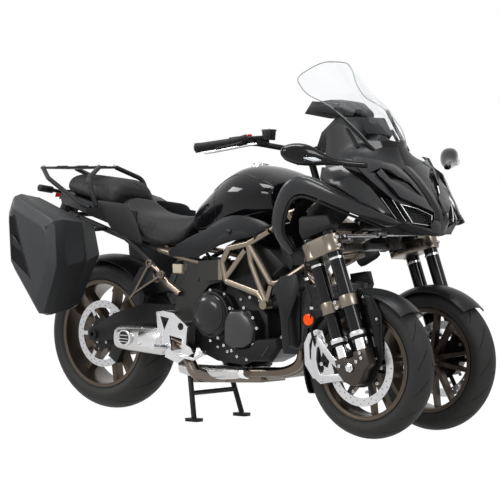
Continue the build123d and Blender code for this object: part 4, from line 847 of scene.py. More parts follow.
def bolt_ring(axle, y, radius, count, first, size, outwards=-1):
    """Rows for set_out: bolts on a circle round an axle at (x, z), on the face at y."""
    return [(at(x, y, z), (0, outwards, 0), size) for x, z in circle_of(axle, radius, count, first)]

# ---- Tyres ----


def arc_points(first, middle, last, count):
    """Points along the circle through three points of a plane, both ends included."""
    (ax, ay), (bx, by), (cx, cy) = first, middle, last
    twice = 2 * (ax * (by - cy) + bx * (cy - ay) + cx * (ay - by))
    a2, b2, c2 = ax * ax + ay * ay, bx * bx + by * by, cx * cx + cy * cy
    ox = (a2 * (by - cy) + b2 * (cy - ay) + c2 * (ay - by)) / twice
    oy = (a2 * (cx - bx) + b2 * (ax - cx) + c2 * (bx - ax)) / twice
    radius = hypot(ax - ox, ay - oy)
    start, end = atan2(ay - oy, ax - ox), atan2(cy - oy, cx - ox)
    if abs(end - start) > pi:
        end += copysign(2 * pi, start - end)
    return [
        (
            ox + radius * cos(start + (end - start) * k / (count - 1)),
            oy + radius * sin(start + (end - start) * k / (count - 1))) for k in range(count)]


# Grooves: depth in millimetres, and where they start and end as shares of the way to the shoulder.
groove_depth, groove_start, groove_end = 4.2, 0.10, 0.97
# Marks along one pitch of the tread: share of the pitch, and which half's groove runs there.
groove_half_w = 0.021
tread_marks = [
    (0.0, ""), (0.08, ""), (0.16, ""), (0.25 - groove_half_w * 1.5, ""), (0.25 - groove_half_w, "left"),
    (0.25 + groove_half_w, "left"), (0.25 + groove_half_w * 1.5, ""), (0.34, ""), (0.42, ""), (0.5, ""),
    (0.58, ""), (0.66, ""), (0.75 - groove_half_w * 1.5, ""), (0.75 - groove_half_w, "right"),
    (0.75 + groove_half_w, "right"), (0.75 + groove_half_w * 1.5, ""), (0.84, ""), (0.92, "")]


def tyre(centre, tyre_r, tyre_w, bead_r, bead_w, pitches, sweep):
    """A tyre with long curved grooves that run from near the crown out to each shoulder."""
    half, bead = tyre_w / 2, bead_w / 2
    shoulder_r, notch_r = tyre_r - 0.225 * tyre_w, bead_r + 13.5
    crown = arc_points((shoulder_r, -half * 0.94), (tyre_r, 0), (shoulder_r, half * 0.94), 27)
    wall = arc_points(
        (shoulder_r, half * 0.94), ((notch_r + shoulder_r) / 2 + 4, half), (notch_r, bead), 9)[1:]
    ribs = [0.0, 0.7, 0.7, 0.0, 0.0, 0.5, 0.0, 0.0]
    wall = [(radius, across + rib) for (radius, across), rib in zip(wall, ribs)]
    section = [(radius, -across) for radius, across in reversed(wall)] + crown + wall
    section += [(bead_r, bead), (bead_r, -bead)]
    rows = []
    for radius, across in [*section, section[0]]:
        reach = min(abs(across) / (half * 0.94), 1.0)
        shear = sweep * reach ** 1.35
        fade = max(0.0, min((reach - groove_start) / 0.12, 1.0, (groove_end - reach) / 0.08))
        depth = groove_depth * fade if radius > shoulder_r + 1 else 0.0
        row = []
        for pitch in range(pitches):
            for share, side in tread_marks:
                lowered = depth if side == ("left" if across > 0 else "right") else 0.0
                angle = (pitch + share) * 2 * pi / pitches + shear / tyre_r
                deep = radius - lowered
                row.append(at(
                    centre[0] + deep * cos(angle), centre[1] + across, centre[2] + deep * sin(angle)))
        rows.append([*row, row[0]])
    return outward(sheet(rows))


right_tyre = tyre((front_x, -half_track, front_z), front_z, 118, 190.5, 89, 15, -95)
left_tyre = twin(right_tyre)
done(right_tyre, "tread_front_right", tyre_rubber, "front_wheel_right", 40, ("front_tyre_right",))
done(left_tyre, "tread_front_left", tyre_rubber, "front_wheel_left", 40, ("front_tyre_left",))
done(
    tyre((rear_x, 0, rear_z), 320, 190, 216, 152, 14, -120), "tread_rear", tyre_rubber, "rear_wheel", 40,
    ("rear_tyre",))

# ---- Wheels: disc bolts, hub caps and a valve ----

bolt = socket_bolt()
wheel_bodies = {-1: "front_wheel_right", 1: "front_wheel_left"}
rows = bolt_ring((front_x, front_z), -268, 50, 5, 18, 6)
both(set_out(bolt, rows), "disc_bolts", link_steel, wheel_bodies)
rows = bolt_ring((front_x, front_z), -268.2, 98, 10, 0, 6.5)
both(set_out(bolt, rows), "disc_bobbins", link_steel, wheel_bodies)
rows = bolt_ring((rear_x, rear_z), -77, 44, 5, 18, 6) + bolt_ring((rear_x, rear_z), 111.5, 46, 6, 12, 7, 1)
done(set_out(bolt, rows), "rear_hub_bolts", link_steel, "rear_wheel")


def valve(place, inward, body, name):
    """A rubber valve stem with its cap, pointing from the rim's well towards the hub."""
    along = Vector(inward)
    stem = turned([
        (0, 0), (6, 0), (6, 3), (3.4, 6), (3.2, 20), (4.2, 21), (4.2, 31), (3, 33),
        (0, 33)], place, along, 16)
    done(stem, name, rubber, body)


valve(at(front_x, -half_track, front_z + 178), (0, -0.5, -1), "front_wheel_right", "valve_right")
valve(at(front_x, half_track, front_z + 178), (0, 0.5, -1), "front_wheel_left", "valve_left")
valve(at(rear_x, 0, rear_z + 204), (0, -0.5, -1), "rear_wheel", "valve_rear")
# turned lip on both edges of each rim
for name, place, radius, half, body in (
        ("lip_right", (front_x, -half_track, front_z), 203, 49.5, "front_wheel_right"),
        ("lip_left", (front_x, half_track, front_z), 203, 49.5, "front_wheel_left"),
        ("lip_rear", (rear_x, 0, rear_z), 228.5, 81, "rear_wheel")):
    lips = []
    for side in (-1, 1):
        lips.append(turned([
            (radius - 13, half - 1.5), (radius - 9, half + 0.6), (radius - 2, half + 0.8),
            (radius, half - 1.0), (radius - 3, half - 2.5)], Vector(place) * MM, (0, side, 0), 72))
    done(joined(lips), name, rim_bronze, body)

# ---- Forks: collars, seals, caps, bolts, hoses and calipers ----

fork_bodies = {-1: "fork_right", 1: "fork_left"}


def on_tubes(profile, w, steps):
    """The same turned piece round both tubes of the right fork, at a height along them."""
    return [turned(profile, caster(u, -310, w), caster_up, steps) for u in (-9, 84)]


rings = on_tubes([(27.2, 0), (31.5, 0), (32.5, 2), (32.5, 15), (31, 18), (27.2, 19)], 104, 32)
rings += on_tubes([(27.1, 0), (29.6, 1), (29.6, 9), (27.1, 10)], 402, 32)
both(joined(rings), "fork_collars", polished, fork_bodies)
seals = on_tubes([(20.6, 0), (26, 0), (27.5, -3), (27.5, -7), (22.5, -11), (20.6, -11)], 104, 32)
both(joined(seals), "fork_seals", rubber, fork_bodies)
caps = on_tubes([
    (0, 13), (6, 13), (7, 11), (12, 11), (12, 8), (21, 7), (25.5, 3), (26.5, 0), (27, -1),
    (0, -1)], 512.5, 28)
both(joined(caps), "fork_caps", polished, fork_bodies)
barrels = on_tubes([
    (27.5, 0), (35, 0), (38, 3), (38.5, 12), (37, 16), (37, 52), (38.5, 56), (38, 66), (35, 69),
    (27.5, 69)], 431, 40)
barrels += on_tubes([(27.5, 0), (33, 0), (35, 2), (35, 43), (33, 45), (27.5, 45)], 217.5, 40)
both(joined(barrels), "clamp_barrels", fork_bronze, fork_bodies, 30)
# clamp bolts: the upper clamp's on its outer face, the lower clamp's and axle holder's pinch bolts
rows = []
for w in (450, 482):
    rows.append((caster(118, -322, w), (1, -0.2, 0), 7))
for w in (229, 251):
    rows.append((caster(37.5, -325, w), (0, -1, 0), 6.5))
for u, w in ((88, 18), (88, 38), (-20, 20), (62, 12)):
    rows.append((caster(u, -334, w), (0, -1, 0), 6.5))
both(set_out(bolt, rows), "fork_bolts", polished, fork_bodies)
axle_cap = turned([
    (0, 9), (9, 9), (10, 8), (10, 4), (16, 4), (18, 2), (18, 0),
    (0, 0)], at(front_x, -340, front_z), (0, -1, 0), 6)
both(axle_cap, "axle_nuts", polished, fork_bodies)
# bracket of the orange reflector beside the lower clamp
bracket_outline = [(600, 436), (600, 458), (650, 478), (690, 492), (694, 470), (652, 456)]
bracket = plate_of(at_side(-341, bracket_outline), (0, 1, 0), 4)
both(rounded(bracket, 1.0), "reflector_brackets", fork_black, fork_bodies)
# brake hose from the caliper up behind the fork to the lower clamp
hoses = [hose([
    caster(-128, -300, 118), caster(-120, -318, 176), caster(-76, -346, 236), caster(-52, -346, 300),
    caster(-50, -342, 380), caster(-46, -330, 440)], 5)]
hoses.append(hose([
    caster(-46, -352, 262), caster(-58, -350, 330), caster(-50, -345, 400), caster(-30, -330, 470)], 3))
both(joined(hoses), "brake_hoses", rubber, fork_bodies)
clips = [turned(
    [(5.2, -5), (8, -5), (8, 5), (5.2, 5)], caster(-62, -346, 262),
    caster(-52, -346, 300) - caster(-76, -346, 236), 20)]
clips.append(turned([(5.2, -5), (8, -5), (8, 5), (5.2, 5)], caster(-50, -343, 372), caster_up, 20))
both(joined(clips), "hose_clips", polished, fork_bodies)


caliper_x, caliper_z = front_x - 136, front_z + 42


def caliper_body():
    """The opposed-piston caliper: a stepped block with its piston bores."""
    block = primitive(bpy.ops.mesh.primitive_cube_add, size=1, location=(0, 0, 0))
    block.scale = (0.040, 0.012, 0.094)
    bpy.ops.object.transform_apply(location=False, rotation=False, scale=True)
    pick_faces(block, lambda face: face.normal.y < -0.9)
    bpy.ops.mesh.inset(thickness=0.006)
    bpy.ops.mesh.extrude_region_move(TRANSFORM_OT_translate={"value": (0, -0.005, 0)})
    bpy.ops.mesh.inset(thickness=0.005, depth=-0.002)
    leave()
    rounded(block, 2.0, 2)
    block.data.transform(Matrix.Rotation(radians(18), 4, "Y"))
    block.data.transform(Matrix.Translation(at(caliper_x, -296, caliper_z)))
    return block


both(caliper_body(), "caliper_faces", fork_black, fork_bodies)
rows = [(at(caliper_x + 12 * s, -311, caliper_z + 36 * s), (0, -1, 0), 7) for s in (-1, 1)]
for u, w in ((-50, -8), (-92, 156), (-50, 34), (-145, -4)):
    rows.append((caster(u, -303.5, w), (0, -1, 0), 6.5))
both(set_out(bolt, rows), "caliper_bolts", polished, fork_bodies)
# stay of the front mudguard: a raised rib and its three screws
rib_outline = [(800, 552), (846, 538), (892, 466), (896, 340), (890, 292), (872, 306), (856, 352), (824, 444)]
rib = plate_of(at_side(-277.6, rib_outline), (0, -1, 0), 2.4)
both(rounded(rib, 1.2), "fender_panels", cowl_black, fork_bodies)
rows = [(at(x, -280, z), (0, -1, 0), 5) for x, z in ((820, 536), (884, 456), (880, 308))]
both(set_out(bolt, rows), "fender_screws", polished, fork_bodies)

# ---- Nose: satin cowl panels round gloss inserts, lamps and gills ----


def panel(points, thickness, edge, inward=(-0.6, 0.5, -0.6)):
    """A body panel of one face: walled inwards and rounded at its rim, on both sides of the nose."""
    return other_side(rounded(plate_of(points, inward, thickness), edge, 2))


def shell(rows, thickness=3, edge=0.8, levels=0):
    """A curved body panel through rows of points, walled, rounded, on both sides."""
    piece = sheet(rows)
    if levels:
        smoothed(piece, levels)
    walled(piece, thickness)
    faced_out(piece)
    if edge:
        rounded(piece, edge, 2, 50)
    return other_side(piece)


crease = right(
    (812, 30, 1020), (858, 28, 980), (890, 27, 948), (918, 26, 914), (942, 27, 880), (962, 30, 848),
    (966, 34, 826))
middle = right(
    (808, 0, 1026), (868, 0, 976), (898, 0, 944), (930, 0, 906), (953, 0, 872), (967, 0, 838), (968, 0, 818))
channel = shell([middle, crease], 3, 0)
fixed(channel, "nose_channel", cowl_black, 24)
bonnet = shell([
    right((812, 30, 1020), (811, 80, 1033), (796, 130, 1042), (772, 190, 1050), (745, 225, 1060)),
    right((858, 28, 980), (852, 62, 990), (842, 100, 1002), (830, 132, 1012), (815, 165, 1018)),
    right((890, 27, 948), (884, 48, 955), (874, 68, 964), (858, 88, 976), (835, 108, 990)),
    right((918, 26, 914), (912, 38, 920), (902, 48, 930), (884, 58, 952), (860, 70, 979)),
    right((942, 27, 880), (940, 32, 883), (937, 36, 888), (933, 40, 894), (928, 44, 905))])
fixed(bonnet, "nose_bonnet", cowl_satin, 30)
insert = panel(right(
    (812, 168, 1012), (829, 112, 985), (858, 72, 974), (925, 45, 900), (906, 87, 920), (869, 127, 951),
    (841, 152, 969)), 3, 0.8)
fixed(insert, "nose_inserts", cowl_black, 30)
blade = shell([
    right((816, 168, 1014), (845, 152, 973), (873, 127, 955), (909, 87, 923), (929, 45, 903), (963, 31, 850)),
    right(
        (819, 182, 1004), (852, 160, 965), (878, 148, 946), (906, 118, 912), (934, 76, 888), (969, 38, 850)),
    right(
        (816, 194, 996), (856, 182, 958), (880, 178, 938), (900, 160, 905), (936, 112, 880), (977, 46, 848))])
fixed(blade, "nose_blades", cowl_satin, 30)
lip = shell([
    right(
        (816, 194, 996), (856, 182, 958), (880, 178, 938), (900, 160, 905), (936, 112, 880), (977, 46, 848)),
    right(
        (808, 190, 988), (848, 180, 948), (870, 174, 926), (890, 158, 896), (926, 110, 872),
        (966, 44, 842))], 2, 0)
fixed(lip, "nose_blade_edges", cowl_black, 30)
nose_tip = shell([
    right((968, 0, 820), (966, 34, 826), (969, 38, 850), (977, 46, 848)),
    right((976, 0, 800), (974, 34, 800), (976, 42, 812), (980, 46, 822)),
    right((976, 0, 768), (972, 36, 772), (968, 52, 788), (968, 58, 800))])
fixed(nose_tip, "nose_tip", cowl_satin, 30)
lamp_points = [
    (902, 168, 884), (940, 106, 866), (972, 48, 838), (964, 40, 796), (932, 130, 808), (922, 156, 846)]


def shrunk(points, share):
    """Points drawn towards their middle."""
    count = len(points)
    centre = [sum(point[axis] for point in points) / count for axis in range(3)]
    return [[value + (mid - value) * share for value, mid in zip(point, centre)] for point in points]


def ring_panel(outer, inner, deep):
    """A frame between two outlines, walled straight back by a depth in millimetres."""
    piece = sheet([[*outer, outer[0]], [*inner, inner[0]]])
    return pulled(outward(piece), (-1, 0, 0), deep)


bezel = ring_panel(right(*lamp_points), right(*shrunk(lamp_points, 0.09)), 16)
fixed(other_side(rounded(bezel, 0.6, 1)), "lamp_bezels", cowl_satin, 30)
trim = ring_panel(
    right(*[(x + 1.2, y, z) for x, y, z in shrunk(lamp_points, 0.055)]),
    right(*[(x + 1.2, y, z) for x, y, z in shrunk(lamp_points, 0.10)]), 2.0)
fixed(other_side(trim), "lamp_trims", polished, 30)
# behind the lens: a dark tray with two round projector lamps and a light strip
tray = face_of(right(*[(x - 34, y, z) for x, y, z in shrunk(lamp_points, 0.06)]))
fixed(other_side(walled(tray, 2)), "lamp_trays", cowl_black, 30)
reflectors = []
for x, y, z, radius in ((922, 82, 836, 16), (900, 118, 842, 14)):
    reflectors.append(turned([
        (0, 6), (radius * 0.45, 5), (radius * 0.8, 2), (radius, -3), (radius, -12),
        (0, -12)], at(x, -y, z), (1, -0.5, 0.05), 28))
both_lenses = other_side(joined(reflectors))
fixed(both_lenses, "lamp_projectors", lamp_bright, 60)
bowls = []
for x, y, z, radius in ((922, 82, 836, 19), (900, 118, 842, 17)):
    bowls.append(turned([
        (radius * 0.86, -4), (radius, 2), (radius + 2.5, 3), (radius + 2.5, -14),
        (radius * 0.86, -14)], at(x, -y, z), (1, -0.5, 0.05), 28))
fixed(other_side(joined(bowls)), "lamp_bowls", chrome, 40)
strip = hose(right((938, 134, 812), (926, 154, 846), (908, 164, 878)), 2.2, 4)
fixed(other_side(strip), "lamp_strips", lamp_bright, 60)
# gills between the lamp and the arch: slanted fins in a dark opening
gills = []
for top, foot in (
        ((900, 176, 892), (938, 152, 818)),
        ((884, 188, 898), (930, 166, 816)),
        ((868, 200, 902), (921, 182, 817)),
        ((852, 214, 905), (913, 196, 820))):
    a, b = right(top, foot)
    wide = at(-9, 4, 0)
    gills.append(plate_of([a, b, b + wide, a + wide], (0.2, -1, 0.1), 2.4))
fixed(other_side(rounded(joined(gills), 0.7, 1)), "nose_gills", cowl_satin, 30)
bright_edges = []
for top, foot in (((886, 189, 897), (932, 167, 817)), ((854, 215.5, 904), (915, 197.5, 820))):
    a, b = right(top, foot)
    bright_edges.append(hose([a, b], 1.0, 1, False))
fixed(other_side(joined(bright_edges)), "gill_edges", polished, 60)
chin = shell([
    right((976, 0, 768), (972, 36, 772), (960, 90, 788), (948, 140, 800), (938, 176, 812), (920, 212, 824)),
    right((962, 0, 758), (958, 36, 760), (944, 92, 768), (930, 144, 778), (914, 180, 792), (892, 214, 806))])
fixed(chin, "nose_chin", matt_plastic, 30)
under_lamp = shell([
    right((968, 52, 788), (936, 128, 802), (930, 150, 812), (938, 152, 818)),
    right((972, 36, 772), (960, 90, 788), (948, 140, 800), (938, 176, 812))])
fixed(under_lamp, "nose_jaw", cowl_satin, 30)
# raised fins on top of the nose, each side of the screen's foot
fin = shell([
    right(
        (724, 226, 1064), (748, 228, 1046), (790, 200, 1008), (836, 176, 966), (880, 150, 918),
        (918, 108, 880)),
    right(
        (742, 250, 1058), (768, 252, 1014), (812, 230, 968), (856, 206, 926), (892, 176, 886),
        (926, 124, 866))], 4, 1.2)
fixed(fin, "nose_fins", cowl_satin, 30)
# side panel from the fin back over the arch, and the gloss wedge in it
flank = shell([
    right(
        (670, 306, 1026), (735, 300, 1021), (772, 300, 998), (829, 252, 943), (868, 236, 892),
        (902, 216, 842)),
    right(
        (672, 330, 1000), (738, 322, 992), (782, 316, 962), (832, 276, 912), (866, 256, 880),
        (890, 238, 848)),
    right(
        (676, 338, 962), (743, 336, 948), (786, 322, 916), (828, 296, 888), (862, 268, 866),
        (886, 250, 846))])
fixed(flank, "nose_flanks", cowl_satin, 30)
wedge = panel(right((848, 262, 899), (903, 220, 839), (886, 252, 846), (866, 268, 864)), 2.5, 0.6, (0, 1, 0))
fixed(wedge, "flank_wedges", cowl_black, 30)
upper_flank = shell([
    right((745, 225, 1060), (772, 190, 1050), (796, 130, 1042)),
    right((735, 300, 1019), (790, 232, 990), (815, 168, 1015))])
fixed(upper_flank, "nose_shoulders", cowl_satin, 30)
# dark liner that closes the nose behind its panels
liner_rows = [
    (764, 950, 918, 895, 160, 870), (812, 958, 920, 892, 228, 830), (848, 944, 905, 850, 244, 790),
    (905, 908, 870, 770, 268, 720), (976, 846, 816, 640, 280, 615), (1020, 792, 770, 632, 250, 600)]
rings = []
for z, front, front_150, side_x, side_y, back_x in liner_rows:
    half = [
        (front, 0), ((front + front_150) / 2 + 6, 80), (front_150, 150), (side_x, side_y), (back_x, side_y)]
    ring = [at(x, y, z) for x, y in half]
    rings.append([at(x, -y, z) for x, y in reversed(half) if y > 0] + ring)
liner = sheet(rings)
walled(liner, 2)
fixed(liner, "nose_liner", matt_plastic, 30, ("nose_cowl",))

# ---- Arches: a rounded band over each fork ----

# Columns: outer edge x, z; inner edge x, z; outboard face y; inboard edge y of the top skin.
arch_rows = [
    (951, 806, 880, 790, 216, 196), (925, 822, 852, 806, 236, 214), (868, 858, 806, 832, 282, 250),
    (800, 894, 752, 858, 322, 282), (727, 930, 690, 886, 342, 300), (660, 964, 640, 904, 348, 305),
    (606, 984, 600, 916, 350, 305), (553, 993, 566, 920, 350, 296), (506, 976, 530, 908, 350, 290),
    (468, 936, 505, 878, 348, 290), (440, 884, 486, 836, 344, 292), (420, 834, 474, 796, 340, 296),
    (418, 786, 474, 762, 334, 296), (436, 742, 490, 738, 325, 295), (458, 708, 502, 712, 314, 288),
    (484, 680, 512, 692, 300, 281)]
rings = []
for outer_x, outer_z, inner_x, inner_z, out_y, in_y in arch_rows:
    run = Vector((outer_x - inner_x, 0, outer_z - inner_z))
    inner, outer = Vector((inner_x, 0, inner_z)), Vector((outer_x, 0, outer_z))
    # around the section: inner lip, crowned face, rounded shoulder, top skin, and back inside
    section = [
        (0.0, out_y - 15), (0.0, out_y - 5), (0.05, out_y), (0.30, out_y + 2.5), (0.62, out_y + 2.5),
        (0.88, out_y - 1), (0.97, out_y - 6), (1.0, out_y - 14), (1.0, in_y), (0.94, in_y),
        (0.92, out_y - 16), (0.80, out_y - 6), (0.15, out_y - 5), (0.06, out_y - 15)]
    rings.append([(inner + run * share) * MM + Vector((0, -across * MM, 0)) for share, across in section])
fixed(other_side(smoothed(body_of(rings), 1)), "arch_bands", cowl_satin, 40, ("arch_cowls",))
# dark inner rim of the arch opening and the inner wall behind the fork
rim = []
for _, _, inner_x, inner_z, out_y, _ in arch_rows[:-1]:
    rim.append(at(inner_x + (610 - inner_x) * 0.06, -(out_y - 7), inner_z + (770 - inner_z) * 0.07))
fixed(other_side(hose(rim, 5.5, 6)), "arch_rims", matt_plastic, 60)
wall_rows = [
    right(
        (900, 150, 792), (820, 170, 842), (730, 200, 886), (640, 215, 905), (560, 215, 905), (500, 215, 860),
        (478, 215, 790), (500, 215, 720)),
    right(
        (890, 196, 792), (806, 250, 832), (690, 298, 884), (640, 304, 902), (566, 295, 916), (505, 290, 874),
        (474, 296, 790), (508, 288, 710))]
fixed(shell(wall_rows, 2, 0), "arch_inner_skins", matt_plastic, 40)
drop_wall = right(
    (700, 206, 886), (640, 210, 900), (560, 210, 900), (500, 206, 856), (478, 204, 790), (502, 200, 716),
    (560, 196, 700), (620, 196, 780), (690, 196, 840))
fixed(panel(drop_wall, 3, 0.6, (0, 1, 0)), "arch_inner_walls", matt_plastic, 30)
# wing from the arch's foot down beside the radiator
shin = shell([
    right((425, 300, 850), (420, 300, 800), (424, 296, 750), (452, 290, 706), (500, 284, 676)),
    right((400, 262, 840), (398, 262, 790), (404, 260, 740), (424, 256, 690), (462, 250, 650)),
    right((372, 226, 800), (372, 226, 760), (384, 226, 706), (402, 224, 660), (430, 220, 616))], 3, 0.8, 1)
fixed(shin, "arch_shins", satin_plastic, 40)

# ---- Screen, its base and the instruments ----

# Columns: z, x on the centre line, half-width, x at the side edge.
screen_rows = [
    (1086, 778, 108, 742), (1120, 772, 124, 722), (1165, 762, 152, 690), (1210, 728, 166, 640),
    (1250, 692, 174, 590), (1280, 661, 182, 530), (1300, 641, 188, 478), (1345, 590, 190, 440),
    (1365, 568, 189, 432), (1385, 550, 166, 440), (1405, 530, 136, 456), (1422, 514, 102, 468),
    (1433, 503, 66, 480), (1436, 500, 34, 493)]
rows = []
for z, middle_x, half, edge_x in screen_rows:
    row = []
    for step in range(17):
        share = step / 8 - 1
        row.append(at(middle_x + (edge_x - middle_x) * abs(share) ** 2.1, half * share, z))
    rows.append(row)
glass = smoothed(walled(sheet(rows), 4), 1)
faced_out(glass)
fixed(glass, "screen", screen_clear, 50, ("windscreen",))
# edge of the clear sheet: a thin opaque grey line, painted shade and reflection standing in for the look of
# the clear edge
edge_line = [at(edge_x, -half, min(z, 1433)) for z, _, half, edge_x in screen_rows]
edge_line += [at(x, y, z) for x, y, z in ((500, -17, 1433), (500, 17, 1433))]
edge_line += [at(edge_x, half, min(z, 1433)) for z, _, half, edge_x in reversed(screen_rows)]
fixed(hose(edge_line, 1.9, 2), "screen_edge", painted_screen_edge, 50)
# dark printed band round the screen's foot, and its four fixings
band = []
for z, middle_x, half, edge_x in screen_rows[:2]:
    band.append([
        at(middle_x + 1.2 + (edge_x - middle_x) * abs(step / 8 - 1) ** 2.1, (half + 1) * (step / 8 - 1), z)
        for step in range(17)])
fixed(walled(sheet(band), 6), "screen_foot", cowl_black, 50)
rows = [(at(765 - 40 * abs(y) / 100, y, 1118), (1, y / 160, 0.2), 7) for y in (-104, -40, 40, 104)]
fixed(set_out(bolt, rows), "screen_bolts", chassis_black)
# base of the screen: satin housing with a raised bridge, mounting struts each side
base = shell([
    right((824, 0, 1000), (828, 60, 1004), (808, 130, 1020), (768, 200, 1040), (700, 236, 1042)),
    right((804, 0, 1032), (808, 60, 1030), (790, 130, 1040), (750, 200, 1052), (690, 230, 1050)),
    right((786, 0, 1062), (786, 56, 1060), (764, 118, 1062), (716, 170, 1066), (640, 190, 1062)),
    right((776, 0, 1092), (772, 56, 1090), (742, 104, 1094), (690, 140, 1096), (610, 150, 1090)),
    right((768, 0, 1124), (762, 54, 1122), (726, 96, 1124), (676, 124, 1120), (606, 134, 1112))], 3, 0.8, 1)
fixed(base, "screen_base", satin_plastic, 40)
struts = []
for foot, top in (
        ((742, 112, 1086), (655, 148, 1180)),
        ((655, 148, 1180), (600, 168, 1246)),
        ((690, 140, 1096), (640, 146, 1168))):
    a, b = right(foot, top)
    struts.append(hose([a, b], 7, 1, False))
fixed(other_side(joined(struts)), "screen_struts", chassis_black, 40)
pod = body_of([
    right((452, 0, 1284), (452, 70, 1280), (446, 92, 1262), (440, 92, 1236), (446, 60, 1226), (446, 0, 1224)),
    right((500, 0, 1288), (500, 76, 1284), (500, 98, 1262), (500, 98, 1230), (500, 60, 1216), (500, 0, 1214)),
    right((560, 0, 1278), (560, 72, 1274), (566, 92, 1252), (566, 92, 1222), (560, 56, 1208), (560, 0, 1206)),
    right(
        (612, 0, 1246), (612, 50, 1244), (612, 66, 1232), (612, 66, 1216), (608, 40, 1206),
        (608, 0, 1204))], False)
rounded(pod, 4, 3, 25)
fixed(other_side(pod), "instrument_pod", satin_plastic, 40)
face = plate_of(right(
    (440, -84, 1232), (440, 84, 1232), (448, 88, 1270), (450, 60, 1276), (450, -60, 1276),
    (448, -88, 1270)), (-1, 0, 0.15), 3)
fixed(rounded(face, 1.0), "instrument_glass", display_glass, 30)
tower = shell([
    right((600, 0, 1210), (600, 60, 1206), (560, 90, 1196), (500, 92, 1180)),
    right((680, 0, 1160), (668, 78, 1150), (600, 118, 1140), (520, 118, 1120)),
    right((740, 0, 1110), (716, 96, 1100), (640, 150, 1090), (540, 150, 1060)),
    right((776, 0, 1060), (750, 120, 1050), (660, 190, 1040), (560, 190, 1000))], 3, 0.8, 1)
fixed(tower, "instrument_cowl", matt_plastic, 40)

# ---- Tank ----


def both_halves(x, half):
    """A full ring from the right half's (y, z) points, top centre to bottom centre."""
    ring = [at(x, -y, z) for y, z in half]
    return ring + [at(x, y, z) for y, z in reversed(half) if y > 0]


def on_surface(piece, points, lift):
    """The places on a piece nearest to points, lifted off it, with the surface normals there."""
    found = []
    for point in points:
        _, place, normal, _ = piece.closest_point_on_mesh(point)
        found.append((place + normal * lift * MM, normal.copy()))
    return found


def between(points, count):
    """Points evenly spaced along runs; count for each run."""
    made = []
    for first, second in zip(points, points[1:]):
        made += [first.lerp(second, step / count) for step in range(count)]
    return [*made, points[-1]]


tank_rings = [
    (-200, [(0, 868), (36, 864), (72, 848), (96, 806), (98, 764), (62, 742), (0, 742)]),
    (-150, [(0, 904), (44, 899), (88, 876), (116, 830), (116, 772), (78, 738), (0, 738)]),
    (-80, [(0, 956), (52, 950), (106, 922), (144, 868), (142, 790), (96, 736), (0, 736)]),
    (0, [(0, 1008), (62, 1002), (124, 976), (168, 910), (164, 824), (110, 738), (0, 738)]),
    (80, [(0, 1038), (74, 1032), (142, 1002), (194, 934), (188, 850), (130, 772), (0, 770)]),
    (160, [(0, 1038), (84, 1030), (150, 1002), (202, 944), (200, 876), (152, 790), (0, 782)]),
    (240, [(0, 1012), (88, 1007), (152, 988), (204, 944), (200, 882), (160, 812), (0, 800)]),
    (300, [(0, 976), (84, 974), (146, 966), (196, 938), (190, 886), (160, 826), (0, 820)]),
    (312, [(0, 950), (70, 950), (130, 944), (180, 922), (176, 886), (150, 832), (0, 830)])]
tank = smoothed(body_of([both_halves(x, half) for x, half in tank_rings]), 2)
fixed(tank, "tank_shell", tank_black, 60, ("fuel_tank",))
seam = between(right((-32, 0, 1000), (-24, 60, 985), (-14, 120, 920), (-6, 160, 850), (-8, 150, 780)), 6)
line = [place for place, _ in on_surface(tank, seam, 0.2)]
fixed(other_side(hose(line, 1.3, 3)), "tank_seam", matt_plastic, 60)
ridge = between(right(
    (300, 176, 968), (230, 170, 985), (150, 150, 1004), (70, 132, 1000), (0, 118, 975), (-60, 100, 930)), 5)
line = [place for place, _ in on_surface(tank, ridge, -0.6)]
fixed(other_side(hose(line, 3.0, 3)), "tank_ridges", tank_black, 60)
cap = turned([
    (0, 9), (20, 9), (24, 7), (25, 3), (34, 2.5), (38, 0), (39, -4), (39, -16),
    (0, -16)], at(96, 0, 1036), (0.06, 0, 1), 40)
fixed(cap, "filler_cap", polished, 40)
rows = []
for turn in range(6):
    angle = radians(60 * turn)
    rows.append((at(96 + 31 * cos(angle), 31 * sin(angle), 1038.5 - 1.9 * cos(angle)), (0.06, 0, 1), 2.6))
fixed(set_out(bolt, rows), "filler_bolts", chassis_black)
flap = turned([(0, 2.4), (6, 2.4), (7, 0), (0, 0)], at(96, 0, 1045), (0.06, 0, 1), 20)
fixed(flap, "filler_lock", chrome, 40)
# satin cover under the tank: crowned, with its raised crease and one clip
cover = shell([
    right(
        (300, 178, 800), (236, 190, 822), (150, 196, 840), (60, 186, 832), (-20, 168, 800), (-110, 146, 752),
        (-212, 128, 700)),
    right(
        (286, 206, 782), (220, 214, 792), (136, 217, 790), (52, 214, 776), (-30, 206, 748), (-118, 196, 716),
        (-214, 178, 682)),
    right(
        (246, 214, 760), (200, 219, 752), (126, 221, 742), (56, 220, 722), (-16, 216, 700), (-90, 208, 680),
        (-206, 186, 668))], 3, 0.8, 1)
fixed(cover, "tank_side_covers", satin_plastic, 40)
clip = turned([(0, 2), (9, 2), (11, 0.5), (11, -2), (0, -2)], at(112, -220, 772), (0.05, -1, 0.12), 24)
fixed(other_side(clip), "side_cover_clips", chassis_black, 40)
# pleated dark nose of the side cover ahead of the trellis
blade = shell([
    right((330, 176, 820), (310, 200, 800), (262, 212, 776), (226, 216, 758)),
    right((318, 170, 780), (300, 196, 766), (262, 206, 750), (236, 212, 740))])
fixed(blade, "side_cover_noses", matt_plastic, 30)

# ---- Seats: sewn covers over soft foam ----


